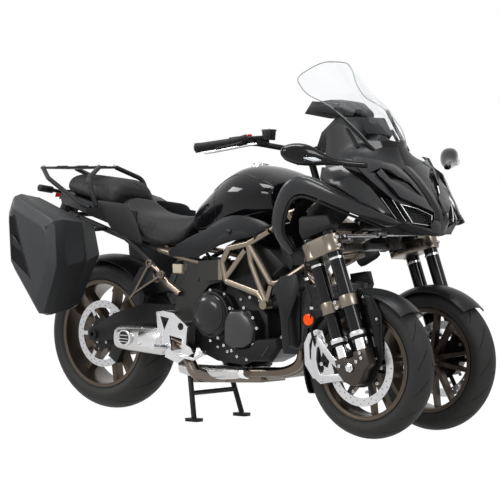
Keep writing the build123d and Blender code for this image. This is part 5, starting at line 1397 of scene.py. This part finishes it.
def cushion(rings, cap, voxel=5.5):
    """A padded seat: a closed body, remeshed, swollen by a short cloth run, capped and smoothed."""
    pad = body_of([both_halves(x, half) for x, half in rings])
    smoothed(pad, 1)
    modify(pad, "REMESH", mode="VOXEL", voxel_size=voxel * MM, adaptivity=0.0)
    rest = [vertex.co.copy() for vertex in pad.data.vertices]
    only(pad)
    cloth = pad.modifiers.new("cloth", "CLOTH")
    settings = cloth.settings
    settings.use_pressure = True
    settings.uniform_pressure_force = 4.0
    settings.quality = 5
    settings.mass = 0.3
    settings.tension_stiffness = settings.compression_stiffness = 15
    settings.bending_stiffness = 0.5
    settings.effector_weights.gravity = 0.0
    cloth.point_cache.frame_start, cloth.point_cache.frame_end = 1, 20
    for number in range(1, 21):
        bpy.context.scene.frame_set(number)
    bpy.ops.object.modifier_apply(modifier=cloth.name)
    bpy.context.scene.frame_set(1)
    for vertex, before in zip(pad.data.vertices, rest):
        move = vertex.co - before
        if move.length > cap * MM:
            vertex.co = before + move.normalized() * cap * MM
    modify(pad, "SMOOTH", iterations=3, factor=0.5)
    return smoothed(pad, 1)


rider_rings = [
    (-196, [(0, 833), (50, 828), (96, 794), (118, 748), (110, 720), (90, 722), (0, 722)]),
    (-224, [(0, 829), (64, 822), (114, 784), (140, 736), (130, 709), (106, 720), (0, 720)]),
    (-262, [(0, 825), (86, 818), (138, 770), (160, 718), (150, 701), (128, 718), (0, 718)]),
    (-310, [(0, 824), (100, 819), (152, 774), (172, 718), (162, 702), (134, 720), (0, 728)]),
    (-370, [(0, 827), (112, 824), (162, 782), (174, 728), (164, 712), (138, 730), (0, 744)]),
    (-440, [(0, 834), (122, 832), (168, 800), (174, 764), (162, 750), (136, 750), (0, 766)]),
    (-490, [(0, 846), (124, 842), (166, 810), (172, 780), (158, 766), (136, 768), (0, 778)]),
    (-535, [(0, 878), (120, 868), (160, 826), (166, 800), (156, 786), (136, 788), (0, 792)]),
    (-568, [(0, 912), (106, 900), (150, 846), (158, 816), (148, 800), (132, 800), (0, 800)]),
    (-584, [(0, 926), (96, 912), (142, 852), (150, 822), (140, 806), (124, 806), (0, 806)])]
rider = cushion(rider_rings, 7)
fixed(rider, "rider_cushion", seat_cover, 0, ("rider_seat",))
pillion_rings = [
    (-590, [(0, 958), (60, 954), (104, 936), (132, 892), (128, 866), (80, 862), (0, 862)]),
    (-612, [(0, 974), (70, 970), (116, 946), (142, 898), (136, 868), (84, 864), (0, 864)]),
    (-660, [(0, 982), (78, 979), (122, 955), (146, 908), (140, 882), (88, 878), (0, 878)]),
    (-720, [(0, 988), (80, 985), (122, 962), (146, 920), (140, 896), (88, 892), (0, 892)]),
    (-800, [(0, 997), (78, 994), (116, 972), (140, 936), (132, 914), (84, 910), (0, 910)]),
    (-870, [(0, 1004), (68, 1001), (102, 982), (122, 952), (114, 930), (74, 926), (0, 926)]),
    (-914, [(0, 1004), (52, 1001), (84, 986), (102, 962), (94, 942), (60, 938), (0, 938)])]
pillion = cushion(pillion_rings, 6)
fixed(pillion, "pillion_cushion", seat_cover, 0, ("pillion_seat",))
side_pad = sheet([
    right((-660, 178, 898), (-600, 181, 894), (-530, 181, 886), (-456, 177, 878)),
    right((-600, 183, 856), (-548, 187, 852), (-490, 187, 848), (-436, 180, 844)),
    right((-582, 185, 814), (-530, 189, 810), (-470, 189, 808), (-411, 182, 806)),
    right((-562, 185, 782), (-510, 188, 768), (-450, 188, 758), (-392, 182, 760)),
    right((-520, 181, 764), (-470, 184, 742), (-425, 184, 722), (-370, 179, 706))])
smoothed(walled(side_pad, 9), 2)
faced_out(side_pad)


def stitched(path, aside, count):
    """Two rows of stitches and the folded seam between them, on whichever seat is nearer."""
    stitch_source = body_of([
        [at(cos(a) * r, sin(a) * r * 0.8, z) for a in [radians(60 * k) for k in range(6)]]
        for r, z in ((0.15, -2.3), (0.55, -1.7), (0.62, 0.0), (0.55, 1.7), (0.15, 2.3))])
    places = between(path, count)
    seam_line = []
    rows = []
    for here, after in zip(places, places[1:]):
        choice = []
        for pad in (rider, pillion, side_pad):
            _, place, normal, _ = pad.closest_point_on_mesh(here)
            choice.append(((place - here).length, place, normal.copy(), pad))
        _, place, normal, pad = min(choice, key=lambda row: row[0])
        run = (after - here).normalized()
        side = run.cross(normal).normalized()
        seam_line.append(place + normal * 0.1 * MM)
        for offset in (-aside, aside):
            _, spot, lift, _ = pad.closest_point_on_mesh(place + side * offset * MM)
            rows.append((spot + lift * 0.35 * MM, run, 1.0))
    made = set_out(stitch_source, rows)
    drop(stitch_source)
    return made, hose(seam_line, 0.9, 2)


threads, folds = [], []
for path in (
        right((-642, 0, 990), (-640, 60, 988), (-628, 108, 966), (-606, 134, 930), (-590, 140, 890)),
        right((-462, 184, 872), (-444, 190, 844), (-420, 192, 806), (-400, 192, 762), (-380, 188, 712)),
        right((-660, 120, 960), (-740, 122, 966), (-820, 118, 976), (-890, 98, 986))):
    made, fold = stitched(path, 3.0, 12)
    threads.append(made)
    folds.append(fold)
fixed(other_side(side_pad), "seat_side_pads", seat_cover, 60)
fixed(other_side(joined(threads)), "seat_stitching", thread, 60)
fixed(other_side(joined(folds)), "seat_seams", matt_plastic, 60)

# ---- Side cases ----

case_widest = [(-899, 850), (-868, 922), (-627, 816), (-612, 622), (-690, 424), (-716, 420), (-884, 632)]
case_mid = Vector((sum(x for x, z in case_widest) / 7, sum(z for x, z in case_widest) / 7))


def case_ring(y, draw, soften=0.16):
    """The case's outline at a distance from the middle plane, drawn inwards, with soft corners."""
    corners = [Vector(point) + (case_mid - Vector(point)) * draw for point in case_widest]
    ring = []
    for place, corner in enumerate(corners):
        before, after = corners[place - 1], corners[(place + 1) % 7]
        reach = min((before - corner).length, (after - corner).length) * soften
        a = corner + (before - corner).normalized() * reach
        b = corner + (after - corner).normalized() * reach
        ring += [a, (a + b + corner * 2) / 4, b]
    return [at(x, -y, z) for x, z in ring]


lid_bodies = {-1: "case_lid_right", 1: "case_lid_left"}
outer = body_of([
    case_ring(441, 0.030), case_ring(446, 0.035), case_ring(458, 0.11), case_ring(468, 0.185),
    case_ring(472.5, 0.235), case_ring(473.5, 0.27)])
rounded(outer, 1.5, 2, 20)
both(outer, "case_outer_panels", case_panel, lid_bodies, 24)
insert = body_of([
    right(
        (-889, 449, 830), (-862, 474.5, 826), (-831, 475.5, 834), (-798, 475.5, 713), (-742, 475.5, 577),
        (-852, 474.5, 655), (-880, 449, 640)),
    right(
        (-887, 446, 828), (-860, 471, 822), (-833, 472, 828), (-802, 472, 713), (-750, 472, 586),
        (-852, 471, 660), (-878, 446, 644))])
both(insert, "case_inserts", case_gloss, lid_bodies, 24)
trim = hose(right(
    (-862, 475.5, 827), (-832, 476, 836), (-824, 476, 800), (-797, 476, 713), (-766, 476, 634),
    (-740, 476, 574)), 1.6, 3)
both(trim, "case_trims", satin_plastic, lid_bodies, 60)
blade = body_of([
    right(
        (-846, 478.5, 752), (-826, 478.5, 736), (-792, 478.5, 700), (-786, 478.5, 686), (-812, 478.5, 694),
        (-842, 478.5, 716)),
    right(
        (-848, 475, 755), (-825, 475, 739), (-790, 475, 701), (-782, 475, 682), (-812, 475, 691),
        (-844, 475, 715))])
both(blade, "case_blades", case_shell, lid_bodies, 24)
feet = []
for x, z, length in ((-838, 570, 44), (-742, 449, 44)):
    a = at(x, -402, z)
    run = Vector((168, 0, -212)).normalized() * length * MM / 2
    out = Vector((-212, 0, -168)).normalized()
    rings = []
    for reach, rise, half in ((1, 0, 22), (0.85, 9, 18)):
        low, high = (a + run * way * reach + out * rise * MM for way in (-1, 1))
        rings.append([
            low + at(0, -half, 0), low + at(0, half, 0), high + at(0, half, 0), high + at(0, -half, 0)])
    feet.append(body_of(rings))
both(rounded(joined(feet), 2, 2), "case_feet", rubber, lid_bodies, 30)
# seam strip along the lid's joint, on the lid side
seam_ring = []
case_inner = [(-880, 830), (-852, 886), (-590, 788), (-560, 672), (-672, 470), (-698, 450), (-860, 640)]
for (ax, az), (bx, bz) in zip(case_inner, case_widest):
    seam_ring.append(at(ax + (bx - ax) * 0.555, -303.5, az + (bz - az) * 0.555))
strip = hose([*seam_ring[6:], *seam_ring[:5]], 1.8, 2, False)
both(strip, "case_seals", rubber, lid_bodies, 60)

# ---- Tail: lamp, indicators, rack bolts and pads ----

light = body_of([
    [at(-1006, s * 64, 908) for s in (-1, 1)] + [at(-1006, s * 54, 936) for s in (1, -1)],
    [at(-1011, s * 58, 912) for s in (-1, 1)] + [at(-1010, s * 50, 932) for s in (1, -1)]])
fixed(rounded(light, 2, 2), "tail_lens", red_lens, 30)
lenses = []
for side in (-1, 1):
    lenses.append(body_of([
        at_length(-958, side, ((132, 930), (186, 938), (190, 952), (132, 956))),
        at_length(-992, side, ((134, 934), (184, 940), (186, 950), (134, 952)))]))
fixed(rounded(joined(lenses), 3, 3), "rear_indicators", satin_plastic, 30)
glass = []
for side in (-1, 1):
    glass.append(body_of([
        at_length(-991, side, ((138, 937), (182, 942), (183, 949), (138, 950))),
        at_length(-996, side, ((142, 939), (178, 943), (179, 947), (142, 948)))]))
fixed(rounded(joined(glass), 1, 2), "rear_indicator_lenses", lamp_lens, 30)
rows = [(at(x, s * y, 1040.2), (0, 0, 1), 6) for x, y in ((-760, 48), (-1036, 98)) for s in (-1, 1)]
fixed(set_out(bolt, rows), "rack_bolts", polished)
pads = []
for x, y in ((-846, 56), (-960, 62)):
    for side in (-1, 1):
        pads.append(body_of([
            [
                at(x + a * half_length, side * (y + b * half_width), z)
                for a, b in ((-1, -1), (1, -1), (1, 1), (-1, 1))]
            for half_length, half_width, z in ((30, 7, 1040), (27, 5, 1043.5))]))
fixed(joined(pads), "rack_pads", rubber, 30)

# ---- Engine: domed covers, bolts, hoses and the parts seen through the trellis ----


def bolts_on(name, places, size):
    """Rows for set_out that seat bolts on a solid's right face, where it looks to the side."""
    found = []
    for x, z in places:
        hit, place, normal, _ = solids[name].ray_cast(at(x, -1200, z), Vector((0, 1, 0)))
        if hit and abs(normal.y) > 0.5:
            found.append((place, normal, size))
    return found


clutch_dome = turned([
    (0, 16), (26, 15.5), (50, 12), (66, 6), (76, -3), (84, -14), (90, -30), (92, -46),
    (0, -46)], at(-10, -206, 440), (0, -1, 0), 56)
fixed(clutch_dome, "clutch_dome", cover_black, 30)
dome_band = turned(
    [(93, -44), (99, -44), (101, -47), (101, -58), (93, -58)], at(-10, -206, 440), (0, -1, 0), 56)
fixed(dome_band, "clutch_flange", engine_cast, 30)
crank_outline = [
    (62, 322), (58, 426), (92, 462), (160, 466), (204, 430), (222, 392), (206, 330), (166, 306), (100, 304)]
crank_low = at_side(-182, crank_outline)
crank_high = [at(140 + (x - 140) * 0.86, -198, 386 + (z - 386) * 0.86) for x, z in crank_outline]
crank_top = [at(140 + (x - 140) * 0.52, -204, 386 + (z - 386) * 0.52) for x, z in crank_outline]
fixed(rounded(body_of([crank_low, crank_high, crank_top]), 4, 3, 20), "crank_dome", cover_smoke, 40)
rows = bolt_ring((-10, 440), -160, 97, 8, 12, 6.5)
rows += [
    (at(140 + (x - 140) * 1.06, -180, 386 + (z - 386) * 1.06), (0, -1, 0), 6.5) for x, z in crank_outline]
rows += bolts_on(
    "engine",
    [
        (-60, 330), (-20, 306), (30, 290), (80, 272), (130, 262), (180, 262), (230, 270), (250, 300),
        (262, 350), (262, 400), (240, 440), (100, 500), (150, 510), (200, 500)], 6.5)
fixed(set_out(bolt, rows), "engine_bolts", polished)
wedge = body_of([
    right(
        (104, 172, 300), (190, 172, 258), (300, 172, 262), (352, 172, 326), (332, 172, 360), (222, 172, 350),
        (190, 172, 318)),
    right(
        (120, 194, 298), (196, 194, 266), (294, 194, 272), (338, 194, 326), (322, 194, 350), (228, 194, 342),
        (196, 194, 312))])
fixed(rounded(wedge, 3, 3, 25), "engine_low_cover", matt_plastic, 30)
slot_rib = hose(right((262, 195, 284), (298, 195, 326)), 3, 2, False)
fixed(slot_rib, "low_cover_rib", cover_smoke, 60)
# cylinder head side, plug caps and camshaft covers behind the trellis
caps = []
for x, z, radius in ((92, 622, 20), (158, 600, 14), (128, 560, 11)):
    caps.append(turned([
        (0, 10), (radius * 0.5, 9.5), (radius * 0.85, 6), (radius, 0), (radius * 1.15, -1),
        (radius * 1.15, -14), (0, -14)], at(x, -118, z), (0, -1, 0), 28))
fixed(joined(caps), "head_caps", cast_alloy, 40)
block = body_of([
    right((60, 40, 540), (60, 40, 660), (200, 40, 700), (240, 40, 640), (220, 40, 540)),
    right((66, 104, 548), (66, 104, 648), (196, 104, 684), (228, 104, 636), (212, 104, 548))])
fixed(rounded(block, 4, 2, 25), "head_casting", engine_cast, 30)
coolant = [
    hose(right((-40, 120, 560), (-70, 150, 610), (-60, 150, 660), (0, 120, 690)), 9),
    hose(right((10, 130, 540), (20, 160, 580), (-10, 168, 640), (-60, 150, 680)), 7),
    hose(right((190, 120, 520), (250, 150, 560), (300, 170, 600), (340, 150, 640)), 11),
    hose(right((230, 160, 470), (262, 178, 500), (330, 172, 520), (372, 150, 560)), 12),
    hose(right((-150, 130, 520), (-130, 152, 570), (-112, 150, 620), (-60, 120, 660)), 5),
    hose(right((-130, 130, 540), (-100, 160, 560), (-80, 162, 600), (-84, 150, 660)), 4)]
fixed(joined(coolant), "coolant_hoses", rubber, 60)
bands = []
for a, b, radius in (
        ((-70, 150, 610), (-60, 150, 660), 9.5),
        ((250, 150, 560), (300, 170, 600), 11.5),
        ((262, 178, 500), (330, 172, 520), 12.5)):
    start, end = right(a, b)
    bands.append(turned([
        (radius - 1, -5), (radius + 1.2, -5), (radius + 1.2, 5),
        (radius - 1, 5)], (start + end) / 2, end - start, 24))
fixed(joined(bands), "hose_bands", polished, 40)
reservoir = body_of([
    at_height(598, ((-238, -128), (-188, -128), (-188, -160), (-238, -160))),
    at_height(636, ((-240, -126), (-186, -126), (-186, -162), (-240, -162)))])
fixed(rounded(reservoir, 5, 3), "brake_reservoir", cream_tank, 40)
lid = turned([(0, 12), (14, 12), (16, 10), (16, 2), (18, 0), (0, 0)], at(-213, -144, 636), (0, 0, 1), 24)
fixed(lid, "brake_reservoir_cap", rubber, 40)
lattice = []
for a, b in (
        ((-338, 190, 637), (-424, 190, 514)),
        ((-272, 190, 593), (-424, 190, 514)),
        ((-338, 190, 637), (-272, 190, 593)),
        ((-424, 190, 514), (-448, 190, 492))):
    lattice.append(hose(right(a, b), 5, 2, False))
for x, z in ((-338, 637), (-272, 593)):
    lattice.append(turned(
        [(9, -6), (16, -6), (17, -4), (17, 4), (16, 6), (9, 6)], at(x, -190, z), (0, -1, 0), 24))
fixed(other_side(joined(lattice)), "peg_lattice", fork_bronze, 40)

# ---- Exhaust: header pipes, collector, clamp and the muffler's mouth ----

pipes = []
for y, low in ((132, 224), (92, 218), (50, 222)):
    pipes.append(hose(right(
        (372, y, 420), (412, y, 340), (410, y, 262), (340, y, low), (220, y, low - 10),
        (100, y * 0.9, low - 16)), 19))
fixed(joined(pipes), "header_pipes", pipe_dark, 60)
collector = body_of([
    [at(x, -y0 + w * cos(a), z0 + h * sin(a)) for a in [radians(360 * k / 20) for k in range(20)]]
    for x, y0, z0, w, h in (
        (130, 126, 212, 40, 20), (84, 128, 208, 42, 26), (-40, 132, 202, 40, 30), (-130, 138, 204, 36, 28),
        (-196, 146, 214, 26, 22))])
fixed(collector, "collector", muffler_steel, 40)
band = body_of([
    [at(x, -127 + w * cos(a), 210 + h * sin(a)) for a in [radians(360 * k / 24) for k in range(24)]]
    for x, w, h in ((144, 41, 21), (138, 44, 25), (120, 44, 26), (114, 41, 24))])
fixed(band, "collector_band", chrome, 30)


def squared_oval(wide, high, count, power):
    """Points round an oval whose corners fill out as power falls below 1."""
    turns = [radians(360 * step / count) for step in range(count)]
    return [
        (wide * copysign(abs(cos(a)) ** power, cos(a)), high * copysign(abs(sin(a)) ** power, sin(a)))
        for a in turns]


def oval(x, y0, z0, wide, high):
    """A superellipse ring across X."""
    return [at(x, y0 + across, z0 + upward) for across, upward in squared_oval(wide, high, 28, 0.8)]


sleeve = body_of([
    oval(-238, -190, 322, 30, 40), oval(-250, -190, 322, 41, 54), oval(-262, -190, 322, 43.5, 56.5),
    oval(-330, -190, 324, 43, 56), oval(-430, -190, 326, 41, 52.5), oval(-490, -190, 328, 38.5, 48.5),
    oval(-508, -188, 328, 34, 43), oval(-514, -186, 328, 22, 28)])
fixed(sleeve, "muffler_sleeve", muffler_steel, 34)


def mouth_ring(wide, high, out):
    """An oval on the slanted outboard face of the muffler's end, lifted off it."""
    ring = []
    for step in range(32):
        a = radians(360 * step / 32)
        run = wide * cos(a)
        ring.append(at(-437 - run * 0.985 - out * 0.17, -231 + run * 0.17 - out * 0.985, 331 + high * sin(a)))
    return ring


mouth = body_of([
    mouth_ring(42, 34, -6), mouth_ring(42, 34, 4), mouth_ring(39, 31, 8), mouth_ring(35, 27, 8),
    mouth_ring(33, 25, 3)])
fixed(mouth, "muffler_mouth", polished, 34)
inner = body_of([mouth_ring(33, 25, 3.4), mouth_ring(20, 15, 4.4), mouth_ring(12, 9, 2.4)])
fixed(inner, "muffler_baffle", chassis_black, 34)
louvres = [
    hose([at(-437 - run * 0.985, -237 + run * 0.17, 331 + rise) for run in (-reach, reach)], 2.6, 2)
    for rise, reach in ((10, 27), (-4, 30), (-16, 24))]
fixed(joined(louvres), "muffler_louvres", polished, 60)
shield = sheet([
    [
        at(x, -190 - (45.5 + lift) * cos(radians(a)), 322.5 + (58.5 + lift) * sin(radians(a)))
        for a in range(-24, 65, 8)] for x, lift in ((-262, -1), (-268, 1), (-360, 1), (-366, -1))])
fixed(rounded(walled(shield, 1.5), 0.6, 1, 50), "muffler_shield", polished, 34)
rows = [
    (at(
        x, -190 - 47 * cos(radians(a)),
        322.5 + 60 * sin(radians(a))), (0, -cos(radians(a)), sin(radians(a))), 4.5) for x in (-275, -353)
    for a in (-14, 54)]
fixed(set_out(bolt, rows), "muffler_bolts", polished)

# ---- Bars: grips, switches, levers, reservoir and mirrors ----

grips = []
for side in (-1, 1):
    end, start = at(155, side * 442, 1098), at(262, side * 310, 1124)
    length = (start - end).length / MM
    profile = [(0, -3), (15, -3), (17.5, -1)]
    run = 4.0
    while run < length - 8:
        profile += [(17.6, run), (17.6, run + 3.4), (16.6, run + 4.0), (16.6, run + 5.4)]
        run += 6.0
    profile += [(19.5, length - 6), (20.5, length - 3), (20.5, length), (0, length)]
    grips.append(turned(profile, end, start - end, 24))
done(joined(grips), "grips", rubber, "handlebar", 30)
ends = [
    turned(
        [(0, 0), (10, 0), (13, 2), (14, 8), (13, 20), (0, 20)],
        at(155, side * 442, 1098) - (Vector((107, side * -132, 26)).normalized() * 22 * MM),
        Vector((107, side * -132, 26)), 24) for side in (-1, 1)]
done(joined(ends), "bar_ends", chassis_black, "handlebar", 40)


def box_between(start, end, wide, high):
    """A box along a line, in millimetres, with rounded edges."""
    a, b = Vector(start) * MM, Vector(end) * MM
    run = (b - a).normalized()
    aside = run.cross(Vector((0, 0, 1))).normalized() * wide * MM / 2
    rise = aside.cross(run).normalized() * high * MM / 2
    return rounded(body_of([
        [middle + aside + rise, middle - aside + rise, middle - aside - rise, middle + aside - rise]
        for middle in (a, b)]), 3, 3)


switches = [box_between((268, side * 302, 1125), (296, side * 250, 1121), 42, 34) for side in (-1, 1)]
done(joined(switches), "switch_housings", rubber, "handlebar", 40)
kill = box_between((266, -288, 1146), (276, -274, 1145), 16, 10)
start_knob = turned([(0, 5), (6, 5), (7, 3.5), (7, 0), (0, 0)], at(262, -282, 1118), (-1, -0.3, 0), 20)
done(kill, "kill_switch", red_switch, "handlebar", 40)
done(start_knob, "start_knob", chassis_black, "handlebar", 40)
levers = []
for side in (-1, 1):
    levers.append(hose([
        at(x, side * y, z)
        for x, y, z in (
            (318, 262, 1116), (306, 300, 1112), (262, 350, 1098), (222, 400, 1086), (196, 436, 1078),
            (186, 450, 1077))], 5.5, 8))
done(joined(levers), "levers", polished, "handlebar", 60)
perches = [box_between((300, side * 280, 1122), (330, side * 238, 1120), 34, 24) for side in (-1, 1)]
done(joined(perches), "lever_perches", chassis_black, "handlebar", 40)
pot = body_of([
    at_height(1130, ((330, -240), (372, -246), (376, -284), (334, -280))),
    at_height(1160, ((328, -238), (374, -244), (378, -286), (332, -282)))])
done(rounded(pot, 3, 3), "fluid_pot", chassis_black, "handlebar", 40)
pot_lid = body_of([
    at_height(1160, ((326, -236), (376, -242), (380, -288), (330, -284))),
    at_height(1168, ((328, -238), (374, -244), (378, -286), (332, -282)))])
done(rounded(pot_lid, 2, 2), "fluid_pot_lid", satin_plastic, "handlebar", 40)
rows = [(at(x, y, 1168), (0, 0, 1), 3.2) for x, y in ((338, -246), (368, -278))]
done(set_out(bolt, rows), "pot_screws", polished, "handlebar")


def pod(stations):
    """A smooth closed pod through upright ovals: centre, half-length and half-height in millimetres."""
    rings = []
    for (x, y, z), deep, high in stations:
        rings.append([at(x + along, y, z + upward) for along, upward in squared_oval(deep, high, 20, 0.85)])
    return body_of(rings)


mirror = smoothed(pod([
    ((646, -546, 1072), 10, 9),
    ((656, -532, 1072), 30, 26),
    ((668, -504, 1068), 42, 39),
    ((684, -474, 1064), 46, 42),
    ((704, -446, 1056), 40, 36),
    ((730, -420, 1047), 26, 23),
    ((756, -386, 1038), 15, 13),
    ((786, -330, 1030), 11, 10),
    ((812, -282, 1028), 16, 12),
    ((820, -262, 1024), 20, 14)]), 1)
fixed(other_side(mirror), "mirror_pods", mirror_black, 0, ("mirrors",))
signal = pod([
    ((706, -506, 1050), 3, 4),
    ((714, -496, 1050), 8, 10),
    ((728, -466, 1045), 11, 12),
    ((742, -436, 1040), 9, 9),
    ((750, -420, 1039), 3, 3)])
fixed(other_side(signal), "mirror_signals", lamp_lens, 0)
glow = pod([((712, -500, 1050), 2, 2), ((731, -464, 1045), 9, 8), ((745, -430, 1041), 2, 2)])
fixed(other_side(glow), "signal_reflectors", lamp_bright, 0)
glass = face_of([
    at(668 + 22 * cos(radians(a)) * 0.9 - 16, -488 + 40 * cos(radians(a)), 1064 + 30 * sin(radians(a)))
    for a in range(0, 360, 15)])
fixed(other_side(walled(glass, 2)), "mirror_faces", mirror_glass, 40)

# ---- Fork tops, reflectors, carriers and the radiator's side ----

cover = body_of([
    [at(x, y, 744 + (x - 575) * 0.34) for x, y in ((580, -344), (576, -276), (704, -278), (714, -344))],
    [at(x, y, 774 + (x - 565) * 0.24) for x, y in ((564, -345), (560, -275), (706, -278), (716, -345))],
    [at(x, y, 826 + (x - 556) * 0.06) for x, y in ((560, -340), (554, -278), (684, -282), (698, -340))],
    [at(x, y, 833 + (x - 556) * 0.06) for x, y in ((568, -333), (562, -285), (678, -288), (690, -333))]])
both(rounded(cover, 6, 3, 20), "fork_top_covers", matt_plastic, fork_bodies, 40)
carrier_outer = [
    (574, 390), (612, 408), (642, 405), (665, 339), (699, 251), (692, 218), (597, 222), (558, 274),
    (554, 353)]
carrier_inner = [
    (590, 378), (612, 386), (622, 380), (628, 338), (650, 262), (644, 246), (612, 254), (582, 300),
    (580, 350)]
ring = sheet([
    [at(x, -300, z) for x, z in [*carrier_outer, carrier_outer[0]]],
    [at(x, -300, z) for x, z in [*carrier_inner, carrier_inner[0]]]])
both(
    rounded(pulled(outward(ring), (0, 1, 0), 7), 2, 3, 25), "caliper_carriers", caliper_alloy, fork_bodies,
    30)
lens = turned(
    [(0, 6), (14, 5.6), (22, 4), (26, 1), (26.5, -1), (0, -1)], at(612, -346, 447), (0.12, -1, 0), 40)
both(lens, "side_reflectors", amber_lens, fork_bodies, 40)
rim_of_lens = turned(
    [(25.5, 1.5), (28.5, 1), (29, -1), (29, -5), (0, -5)], at(612, -346, 447), (0.12, -1, 0), 40)
both(rim_of_lens, "reflector_rims", satin_plastic, fork_bodies, 40)
glow_disc = turned([(0, 0), (24, 0), (25, -1), (0, -1)], at(612, -346.5, 447), (0.12, -1, 0), 40)
both(glow_disc, "reflector_backs", amber_back, fork_bodies, 40)
shroud = body_of([
    right(
        (352, 205, 545), (360, 212, 566), (440, 212, 572), (456, 200, 500), (456, 200, 350), (440, 196, 322),
        (404, 200, 326), (382, 206, 420)),
    right(
        (356, 190, 540), (364, 194, 560), (436, 194, 566), (450, 188, 498), (450, 188, 354), (436, 186, 330),
        (408, 188, 334), (388, 192, 420))])
fixed(other_side(rounded(shroud, 4, 3, 25)), "radiator_shrouds", satin_plastic, 36)

drop(bolt)

# ---- Camera and studio ----

target = Vector((0.03897, 0.0, 0.69371))
azimuth, elevation, distance = radians(39.784), radians(1.336), 8.7792
back = Vector((sin(azimuth) * cos(elevation), -cos(azimuth) * cos(elevation), sin(elevation)))
camera_data = bpy.data.cameras.new("camera")
focal_pixels, picture_pixels, sensor = 2172.07, 500, 36.0
camera_data.sensor_width = sensor
camera_data.lens = focal_pixels / picture_pixels * sensor
camera_data.clip_start, camera_data.clip_end = 0.1, 200.0
camera = bpy.data.objects.new("camera", camera_data)
camera.location = target + back * distance
camera.rotation_mode = "QUATERNION"
camera.rotation_quaternion = (-back).to_track_quat("-Z", "Y")
bpy.context.scene.collection.objects.link(camera)
bpy.context.scene.camera = camera


def seen_directly(tree):
    """1 for camera, mirror and see-through rays, 0 for the light that falls on the object."""
    path = tree.nodes.new("ShaderNodeLightPath")
    both = math_node(tree, "MAXIMUM", path.outputs["Is Camera Ray"], path.outputs["Is Transmission Ray"])
    return math_node(tree, "MAXIMUM", both, path.outputs["Is Glossy Ray"])


def studio_floor():
    """A wide pale floor that shows white to the camera and keeps a soft shadow."""
    floor = primitive(bpy.ops.mesh.primitive_circle_add, vertices=96, radius=40.0, fill_type="NGON")
    floor.name = "studio_floor"
    material = bpy.data.materials.new("studio_floor")
    material.use_nodes = True
    tree = material.node_tree
    shader = tree.nodes["Principled BSDF"]
    set_inputs(shader, Base_Color=(0.5, 0.5, 0.5, 1), Roughness=0.9)
    glow = tree.nodes.new("ShaderNodeEmission")
    set_inputs(glow, Color=(1, 1, 1, 1), Strength=1.12)
    mix = tree.nodes.new("ShaderNodeMixShader")
    shadow_kept = 0.12
    tree.links.new(math_node(tree, "MULTIPLY", seen_directly(tree), 1 - shadow_kept), mix.inputs[0])
    tree.links.new(shader.outputs[0], mix.inputs[1])
    tree.links.new(glow.outputs[0], mix.inputs[2])
    tree.links.new(mix.outputs[0], tree.nodes["Material Output"].inputs["Surface"])
    floor.data.materials.append(material)
    floor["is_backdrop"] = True


def studio_world():
    """White behind the object; a softer grey for what lights it."""
    world = bpy.data.worlds.new("studio")
    bpy.context.scene.world = world
    world.use_nodes = True
    tree = world.node_tree
    background = tree.nodes["Background"]
    background.inputs["Color"].default_value = (1, 1, 1, 1)
    light = 0.18
    strength = math_node(tree, "MULTIPLY", seen_directly(tree), 1 - light)
    tree.links.new(math_node(tree, "ADD", strength, light), background.inputs["Strength"])


def soft_lamp(name, place, aim, size, power):
    """A rectangular lamp of a size in metres and a power in watts, pointed at an aim."""
    data = bpy.data.lights.new(name, "AREA")
    data.shape = "RECTANGLE"
    data.size, data.size_y = size
    data.energy = power
    lamp = bpy.data.objects.new(name, data)
    lamp.location = place
    lamp.rotation_mode = "QUATERNION"
    lamp.rotation_quaternion = (Vector(aim) - Vector(place)).to_track_quat("-Z", "Y")
    bpy.context.scene.collection.objects.link(lamp)


studio_floor()
studio_world()
soft_lamp("overhead_lamp", (0.2, -0.5, 3.4), (0, 0, 0.6), (2.6, 0.9), 120)
soft_lamp("right_lamp", (-0.6, -3.8, 2.4), (0, 0, 0.7), (1.8, 0.9), 80)
soft_lamp("front_lamp", (4.2, -0.6, 2.2), (0.3, 0, 0.8), (1.2, 1.2), 60)
soft_lamp("rear_lamp", (-3.4, -1.6, 2.6), (0, 0, 0.8), (1.4, 0.8), 50)
bpy.context.scene.view_settings.view_transform = "Standard"

# ---- Bounds of the object ----

low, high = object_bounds()
